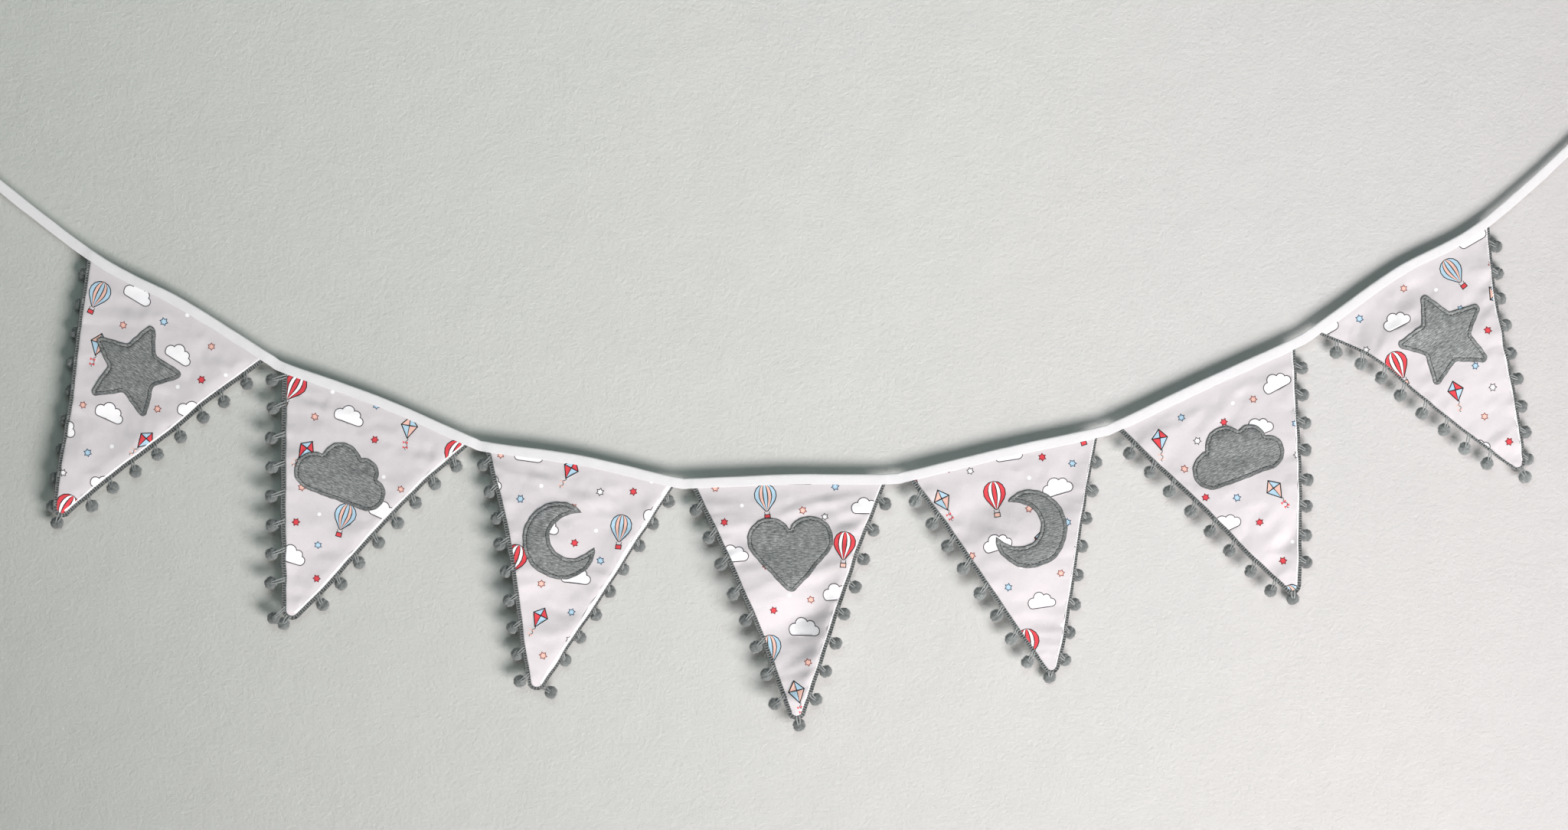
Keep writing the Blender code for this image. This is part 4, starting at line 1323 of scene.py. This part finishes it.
def make_stitches(pennant, line, rise, materials):
    """The running stitch that holds a patch, along a line on it. Each stitch strays a little."""
    lengths = lengths_along(line)
    pitch = STITCH_LENGTH + STITCH_GAP
    rng = random.Random(pennant.number + 80)
    stitches = Shape()
    for index in range(int(lengths[-1] / pitch)):
        start = index * pitch + rng.uniform(-STITCH_SHIFT, STITCH_SHIFT)
        end = start + STITCH_LENGTH + rng.uniform(-STITCH_LONGER, STITCH_LONGER)
        spots, headings = along(line, lengths, np.linspace(start, end, len(STITCH_BOW)))
        spots = spots + outwards(headings) * rng.uniform(-STITCH_ASIDE, STITCH_ASIDE)
        path = pennant.solid(spots, -(PATCH_LIFT + rise(spots) + np.array(STITCH_BOW)))
        stitches.add_tube(path, STITCH_RADIUS * MM, 5)
    thread = stitches.build(f"pennant_{pennant.number}_stitches", [materials["thread"]])
    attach(thread, "root")
    return thread


def widths_along(pennant, distances):
    """How much of the braid shows at each distance along its route."""
    left, right = (side["braid"] for side in pennant.sides.values())
    return left + (right - left) * smoothstep(distances / pennant.lengths[-1])


def side_painted_light(pennant, distances):
    """How much painted light makes the yarn paler at each distance along its route."""
    left, right = (SIDE_PAINTED_LIGHT.get((pennant.number, side), 1.0) for side in pennant.sides)
    return np.where(distances < pennant.lengths[-1] / 2, left, right)


def braid_range(pennant):
    """Where the braid comes out from under the tape at each side."""
    distances = np.arange(0.0, pennant.lengths[-1], 0.25)
    places, runs = along(pennant.route, pennant.lengths, distances)
    widths = BRAID_GAP + widths_along(pennant, distances)
    clear = below_tape(places + outwards(runs) * widths[:, None]) > HALF_TAPE + GAP
    clear &= below_tape(places) > HALF_TAPE + GAP
    return distances[clear][0], distances[clear][-1]


def add_braid(shape, pennant):
    """Two rails of yarn that run beside the seam, with rungs between them."""
    first, last = braid_range(pennant)
    first, last = first - BRAID_HIDDEN, last + BRAID_HIDDEN
    count = int((last - first) / RUNG_PITCH)

    def lay(distances, offsets, behind):
        places, runs = along(pennant.route, pennant.lengths, distances)
        return pennant.solid(places + outwards(runs) * np.asarray(offsets)[:, None], behind)

    steps = np.linspace(first, last, 3 * count + 1)
    steps = np.clip(steps, 0.0, pennant.lengths[-1])
    widths = BRAID_GAP + widths_along(pennant, steps)
    knots = np.cos(2 * math.pi * (steps - first) / RUNG_PITCH)
    rails = (widths - RAIL_RADIUS, widths + RAIL_RADIUS - BRAID_WIDTH)
    for offsets in rails:
        path = lay(steps, offsets + KNOT_ASIDE * knots, -RAIL_FORWARD - KNOT_OUT * knots)
        # Painted light makes the rails paler where their knots stand forward, and painted shade darker
        # between them.
        tones = (RAIL_TONE + KNOT_PAINTED_LIGHT * knots) * side_painted_light(pennant, steps)
        shape.add_tube(path, (RAIL_RADIUS + KNOT_OUT * knots) * MM, 5, 0, tones)
    # The band behind the rungs is dark as painted shade in the gaps between them.
    band = [lay(steps, offsets, BAND_BACK) for offsets in rails]
    shape.add(np.vstack(band), quads_between(2, len(steps)), 0, BAND_SHADE_TONE)
    shares = np.linspace(0.0, 1.0, 6)
    for index in range(count):
        distance = first + (index + 0.5) * RUNG_PITCH
        width = BRAID_GAP + widths_along(pennant, np.array([distance]))[0]
        offsets = width - RAIL_RADIUS - shares * (BRAID_WIDTH - 2 * RAIL_RADIUS)
        distances = distance + RUNG_SLANTS[index % 2] * (shares - 0.5) * 2
        arch = RUNG_ARCH * np.sin(math.pi * shares)
        path = lay(np.clip(distances, 0.0, pennant.lengths[-1]), offsets, -RUNG_FORWARD - arch)
        shape.add_tube(path, RUNG_RADIUS * MM, 5, 0, RUNG_TONE * side_painted_light(pennant, distance))


def pompom_places(pennant):
    """For each pompom: its middle, how far it is from the cloth and where its yarn starts on the braid."""
    rng = random.Random(pennant.number)
    places = []
    for row, to_tip in zip(pennant.sides.values(), (1, -1)):
        for index in range(row["count"]):
            down = row["first"] + (row["last"] - row["first"]) * index / (row["count"] - 1)
            distance = down if to_tip > 0 else pennant.lengths[-1] - down
            distance += rng.uniform(-JITTER, JITTER)
            reach = row["reach"] + rng.uniform(-JITTER, JITTER)
            place, run = along(pennant.route, pennant.lengths, distance)
            places.append(((place + outwards(run) * reach)[0], reach, distance - to_tip * YARN_SLANT))
    across, down = TIP_POMPOMS[pennant.number - 1]
    lowest = pennant.place(0.0, pennant.local(pennant.route)[1].max())
    centre = lowest + pennant.across * across + pennant.down * down
    gaps, stations = nearest_on(centre[None], pennant.route)
    places.append((centre, gaps[0], stations[0]))
    return places


def tufted_ball(base, faces, rng):
    """A ball of soft tufts of radius 1, which is drawn in along the tie round its middle."""
    tufts = unit(rng.normal(size=(TUFTS, 3)))
    heights = rng.uniform(*TUFT_HEIGHTS, len(tufts))
    gaps = np.arccos(np.clip(base @ tufts.T, -1, 1))
    near = np.sort(gaps, axis=1)
    ridge = np.clip((near[:, 1] - near[:, 0]) / TUFT_EDGE, 0.0, 1.0) ** 0.7
    tie = np.exp(-((base[:, 2] / TIE_WIDTH) ** 2))
    radius = (FURROW + TUFT_RISE * ridge) * heights[gaps.argmin(axis=1)] * (1 - TIE_DEPTH * tie)
    # Painted shade darkens the furrows and the tie, and painted light brightens the tufts.
    tones = FURROW_SHADE_TONE + TUFT_PAINTED_LIGHT * ridge - TIE_PAINTED_SHADE * tie
    shape = Shape()
    shape.add(base * radius[:, None], faces, 0, tones + rng.uniform(-TONE_STRAY, TONE_STRAY, len(base)))
    return shape


def add_fibres(shape, rng):
    """Loose fibres that stand out of a pompom, each slim, three-sided and pointed."""
    roots = unit(rng.normal(size=(FIBRES, 3)))
    leans = unit(roots + rng.normal(scale=FIBRE_STRAY, size=roots.shape))
    for root, lean in zip(roots, leans):
        length = rng.uniform(*FIBRE_LENGTHS)
        tie = math.exp(-((root[2] / TIE_WIDTH) ** 2))
        start = root * FIBRE_ROOT * (1 - FIBRE_TIE_DEPTH * tie)
        aside = unit(np.cross(lean, rng.normal(size=3)))
        other = np.cross(lean, aside)
        thick = rng.uniform(*FIBRE_WIDTHS)
        corners = [start + thick * (math.cos(a) * aside + math.sin(a) * other) for a in (0.0, 2.1, 4.2)]
        points = np.array([*corners, start + lean * length])
        # Painted shade darkens each fibre's root, and painted light brightens its end.
        shape.add(points, [(0, 1, 3), (1, 2, 3), (2, 0, 3)], 0, FIBRE_SHADE_AND_LIGHT)


def pompom_kinds():
    """A few unlike pompoms of radius 1: their points, faces and tones."""
    ball = bmesh.new()
    bmesh.ops.create_icosphere(ball, subdivisions=4, radius=1.0)
    ball.verts.ensure_lookup_table()
    base = unit(np.array([tuple(vert.co) for vert in ball.verts]))
    faces = [[vert.index for vert in face.verts] for face in ball.faces]
    ball.free()
    kinds = []
    for kind in range(KINDS):
        rng = np.random.default_rng(kind + 3)
        shape = tufted_ball(base, faces, rng)
        add_fibres(shape, rng)
        kinds.append((np.vstack(shape.points), shape.faces, np.concatenate(shape.tones)))
    return kinds


def spin_matrix(rng):
    """A turn about the line of sight and a slight tilt, as a matrix."""
    turn, tilt = rng.uniform(0, math.pi), rng.uniform(-TILT, TILT)
    across, out = math.cos(turn), math.sin(turn)
    up, back = math.cos(tilt), math.sin(tilt)
    about_y = np.array([[across, 0, out], [0, 1, 0], [-out, 0, across]])
    return about_y @ np.array([[1, 0, 0], [0, up, -back], [0, back, up]])


def pompom_back(reach, width):
    """How far behind the cloth's middle a pompom hangs, so that it clears the braid and the cloth."""
    room = POMPOM_RADIUS + POMPOM_CLEAR
    beyond = reach - BRAID_GAP - width
    back = 0.0
    if beyond < room:
        back = BRAID_THICK / 2 + math.sqrt(room**2 - max(0.0, beyond) ** 2)
    if reach < room:
        back = max(back, GAP / 2 + CLOTH + room)
    return back


def add_loop(shape, pennant, root, centre, squeeze):
    """A loop of two strands of yarn, from the braid to a pompom's middle."""
    ends = np.array([root - LOOP_SPREAD, root + LOOP_SPREAD])
    spots, runs = along(pennant.route, pennant.lengths, ends)
    feet = pennant.solid(spots + outwards(runs) * (BRAID_GAP + YARN_ROOT), LOOP_BACK)
    towards = centre - feet.mean(axis=0)
    entry = centre - unit(towards) * POMPOM_RADIUS * LOOP_END * MM
    entry[1] = centre[1] - POMPOM_RADIUS * squeeze * LOOP_FRONT * MM
    aside = unit(feet[1] - feet[0])
    shares = np.linspace(0.0, 1.0, 10)[:, None]
    radii = LOOP_RADIUS * MM * (1.0 - LOOP_SLIMS * shares[:, 0])
    bulge = np.sin(math.pi * shares) * MM
    for strand, foot in zip((-1, 1), feet):
        end = entry + aside * strand * STRANDS_APART * MM
        path = foot + (end - foot) * shares
        path = path + aside * strand * bulge * STRAND_BOW + np.array(STRAND_SAG) * bulge
        shape.add_tube(path, radii, 6, 0, LOOP_TONE * side_painted_light(pennant, root))


def add_pompoms(shape, pennant, kinds):
    """The pompoms, each on its loop of yarn, and each turned, squeezed and toned in its own way."""
    rng = random.Random(pennant.number)
    first, last = braid_range(pennant)
    width = max(side["braid"] for side in pennant.sides.values())
    for index, (place, reach, root) in enumerate(pompom_places(pennant)):
        spin = spin_matrix(rng)
        squeeze = rng.uniform(*SQUEEZE)
        centre = pennant.solid(place[None], pompom_back(reach, width))[0]
        points, faces, tones = kinds[(index * 3 + pennant.number) % len(kinds)]
        points = (points * (1.0, squeeze, 1.0)) @ spin.T * POMPOM_RADIUS * MM * POMPOM_FULL
        # Each pompom's tone strays at random, and along some sides painted light makes it paler.
        shape.add(centre + points, faces, 1, tones * rng.uniform(*POMPOM_TONES) * side_painted_light(pennant, root))
        root = min(max(root, first + YARN_ROOT), last - YARN_ROOT)
        add_loop(shape, pennant, root, centre, squeeze)


def make_trim(pennant, kinds, materials):
    shape = Shape()
    add_braid(shape, pennant)
    add_pompoms(shape, pennant, kinds)
    name = f"pennant_{pennant.number}"
    obj = shape.build(f"{name}_pompom_braid", [materials["braid"], materials["pompom"]], with_tones=True)
    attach(obj, "root")
    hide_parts(f"{name}_trim")


def make_tape(pennants, materials):
    """The binding, folded over the pennants' top edges and pressed flat between them."""
    distances = np.arange(0.0, TAPE_LENGTHS[-1], TAPE_STEP)
    places, runs = along(TAPE_ROUTE, TAPE_LENGTHS, distances)
    x = places[:, 0]
    within = np.max([np.minimum(x - pennant.left[0], pennant.right[0] - x) for pennant in pennants], axis=0)
    half = TAPE_HALF + (TAPE_HALF_FULL - TAPE_HALF) * smoothstep((within + TAPE_TAPER) / TAPE_TAPER)
    thicker, middle, higher, lower = (
        height * ripples(seed + 3, distances, lengths) for seed, (height, lengths) in enumerate(TAPE_RIPPLES)
    )
    half = half * (1 + thicker)
    high = HALF_TAPE * (1 + higher)
    low = -HALF_TAPE * (1 + lower) * (1 - TAPE_SLIM * smoothstep((x - TAPE_SLIM_FROM) / TAPE_SLIM_OVER))
    front = [(share, depth, share * HALF_TAPE) for share, depth in TAPE_SECTION]
    back = [(share, -depth, TAPE_WIDTH - round_fold) for share, depth, round_fold in front[-2::-1]]
    rows, flat = [], []
    for share, depth, round_fold in front + back:
        reach = np.where(share > 0, share * high, -share * low)
        spots = places - outwards(runs) * reach[:, None]
        rows.append(np.column_stack([spots[:, 0], middle - depth * half, spots[:, 1]]) * MM)
        flat.append(np.column_stack([distances, np.full(len(distances), round_fold)]))
    points = np.stack(rows, axis=1)
    quads = np.roll(quads_between(*points.shape[:2])[:, ::-1], 1, axis=1)
    obj = make_object("tape_binding", points.reshape(-1, 3), quads, [materials["tape"]])
    add_flat_places(obj, np.stack(flat, axis=1).reshape(-1, 2))
    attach(obj, "root")
    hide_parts("tape")


def plane(name, corners, material):
    obj = make_object(name, corners, [(0, 1, 2, 3)], [material])
    return obj


def painted_wall_light(nodes, place):
    """Painted light on the wall: its colour is palest above the middle of the row and darkens a little to
    the sides and down, and it's painted slightly green at the left and slightly pink at the right, as the
    light's colour is there."""
    axes = nodes.axes(place)
    aside = nodes.between(axes["X"], -1.2, 1.2, -0.1, 1.54)
    low = nodes.between(axes["Z"], 1.1, -0.1, -0.67, 0.2)
    darker = nodes.plus(nodes.by(nodes.by(aside, aside), 0.11), nodes.by(low, 0.1))
    leaning = nodes.by(nodes.by(aside, low), 0.07)
    tone = nodes.plus(nodes.math("SUBTRACT", 0.985, darker), leaning)
    pink = nodes.by(tone, nodes.plus(nodes.by(aside, 0.024), 1.0))
    return nodes.add("ShaderNodeCombineXYZ", {"X": pink, "Y": tone, "Z": pink}).outputs[0]


def plaster(name, colour, is_wall):
    """A matt painted wall or floor. The wall carries painted light and isn't seen from behind."""
    nodes = Nodes(name)
    place = nodes.place()
    grain = nodes.noise(place, 300.0, 3.0, 0.7)
    pits = nodes.noise(nodes.stretched(place, (130.0, 200.0, 170.0)), 1.0, 1.0)
    waves = nodes.noise(place, 30.0, 1.0)
    normal = nodes.bump(nodes.between(pits, 0.6, 0.0), 0.28, 0.0018)
    normal = nodes.bump(grain, 0.7, 0.0012, normal)
    normal = nodes.bump(waves, 0.25, 0.003, normal)
    colour = nodes.times(colour, nodes.between(waves, 0.975, 1.02))
    if is_wall:
        # The wall's colour carries painted light, which falls off to the sides and downwards.
        colour = nodes.times(colour, painted_wall_light(nodes, place))
        behind = nodes.add("ShaderNodeNewGeometry").outputs["Backfacing"]
        clear = nodes.add("ShaderNodeBsdfTransparent").outputs[0]
        mix = nodes.add("ShaderNodeMixShader", {0: behind, 1: nodes.shader.outputs[0], 2: clear})
        nodes.set(nodes.tree.nodes["Material Output"].inputs["Surface"], mix.outputs[0])
    return nodes.finish(colour, normal, 0.85, 0.0)


def make_surround():
    """A surround that gives little light and looks pale."""
    world = bpy.data.worlds.new("stage_world")
    world.use_nodes = True
    tree = world.node_tree
    mix = tree.nodes.new("ShaderNodeMix")
    mix.data_type = "RGBA"
    mix.inputs["A"].default_value = SURROUND_LIGHT
    mix.inputs["B"].default_value = SURROUND_SEEN
    shown = tree.nodes.new("ShaderNodeLightPath").outputs["Is Camera Ray"]
    tree.links.new(shown, mix.inputs["Factor"])
    tree.links.new(mix.outputs["Result"], tree.nodes["Background"].inputs[0])
    bpy.context.scene.world = world


def add_lamp(row):
    """A round window of light."""
    data = bpy.data.lights.new(row["name"], "AREA")
    data.shape = "ELLIPSE"
    data.size = data.size_y = row["width"]
    data.energy = row["power"]
    data.color = row["colour"]
    data.cycles.max_bounces = row["bounces"]
    lamp = bpy.data.objects.new(row["name"], data)
    bpy.context.scene.collection.objects.link(lamp)
    lamp.location = row["place"]
    towards = Vector(row["target"]) - Vector(row["place"])
    lamp.rotation_euler = towards.to_track_quat("-Z", "Y").to_euler()
    lamp.visible_camera = False


def make_stage():
    """The wall, which casts no shadow, the floor, the surround, the lamps and a sun for the floor alone."""
    left, right = WALL_SIDES
    corners = ((left, FLOOR_LOW), (right, FLOOR_LOW), (right, WALL_TOP), (left, WALL_TOP))
    places = [(x, WALL_BACK + WALL_SWING * x + WALL_LEAN * z, z) for x, z in corners]
    wall = plane("stage_wall", places, plaster("stage_wall_paint", WALL_PAINT, True))
    wall.visible_shadow = False
    corners = box_corners(1.0, 0.0, FLOOR_SIZE, FLOOR_SIZE)
    places = np.column_stack([corners, np.full(4, FLOOR_LOW)])
    floor = plane("stage_floor", places, plaster("stage_floor_paint", FLOOR_PAINT, False))
    make_surround()
    for row in LAMPS:
        add_lamp(row)
    sun = bpy.data.objects.new("floor_sun", bpy.data.lights.new("floor_sun", "SUN"))
    sun.data.energy = FLOOR_SUN
    sun.data.cycles.max_bounces = 0
    bpy.context.scene.collection.objects.link(sun)
    sun.light_linking.receiver_collection = bpy.data.collections.new("stage_floor")
    sun.light_linking.receiver_collection.objects.link(floor)


def make_camera():
    """The camera, which looks straight at the wall with the photo's view."""
    scene = bpy.context.scene
    scene.view_settings.view_transform = "Standard"
    scene.view_settings.look = "None"
    data = bpy.data.cameras.new("photo_camera")
    camera = bpy.data.objects.new("photo_camera", data)
    scene.collection.objects.link(camera)
    camera.location = CAMERA
    camera.rotation_euler = (math.pi / 2, 0.0, 0.0)
    data.sensor_width = SENSOR_MM
    data.lens = SENSOR_MM * -CAMERA[1] / VIEW_WIDTH
    scene.camera = camera


def main():
    materials = make_materials()
    pennants = [Pennant(number + 1) for number in range(len(PENNANTS))]
    kinds = pompom_kinds()
    make_tape(pennants, materials)
    for pennant in pennants:
        make_panels(pennant, materials)
        make_patch(pennant, materials)
        make_trim(pennant, kinds, materials)
    make_stage()
    make_camera()


main()
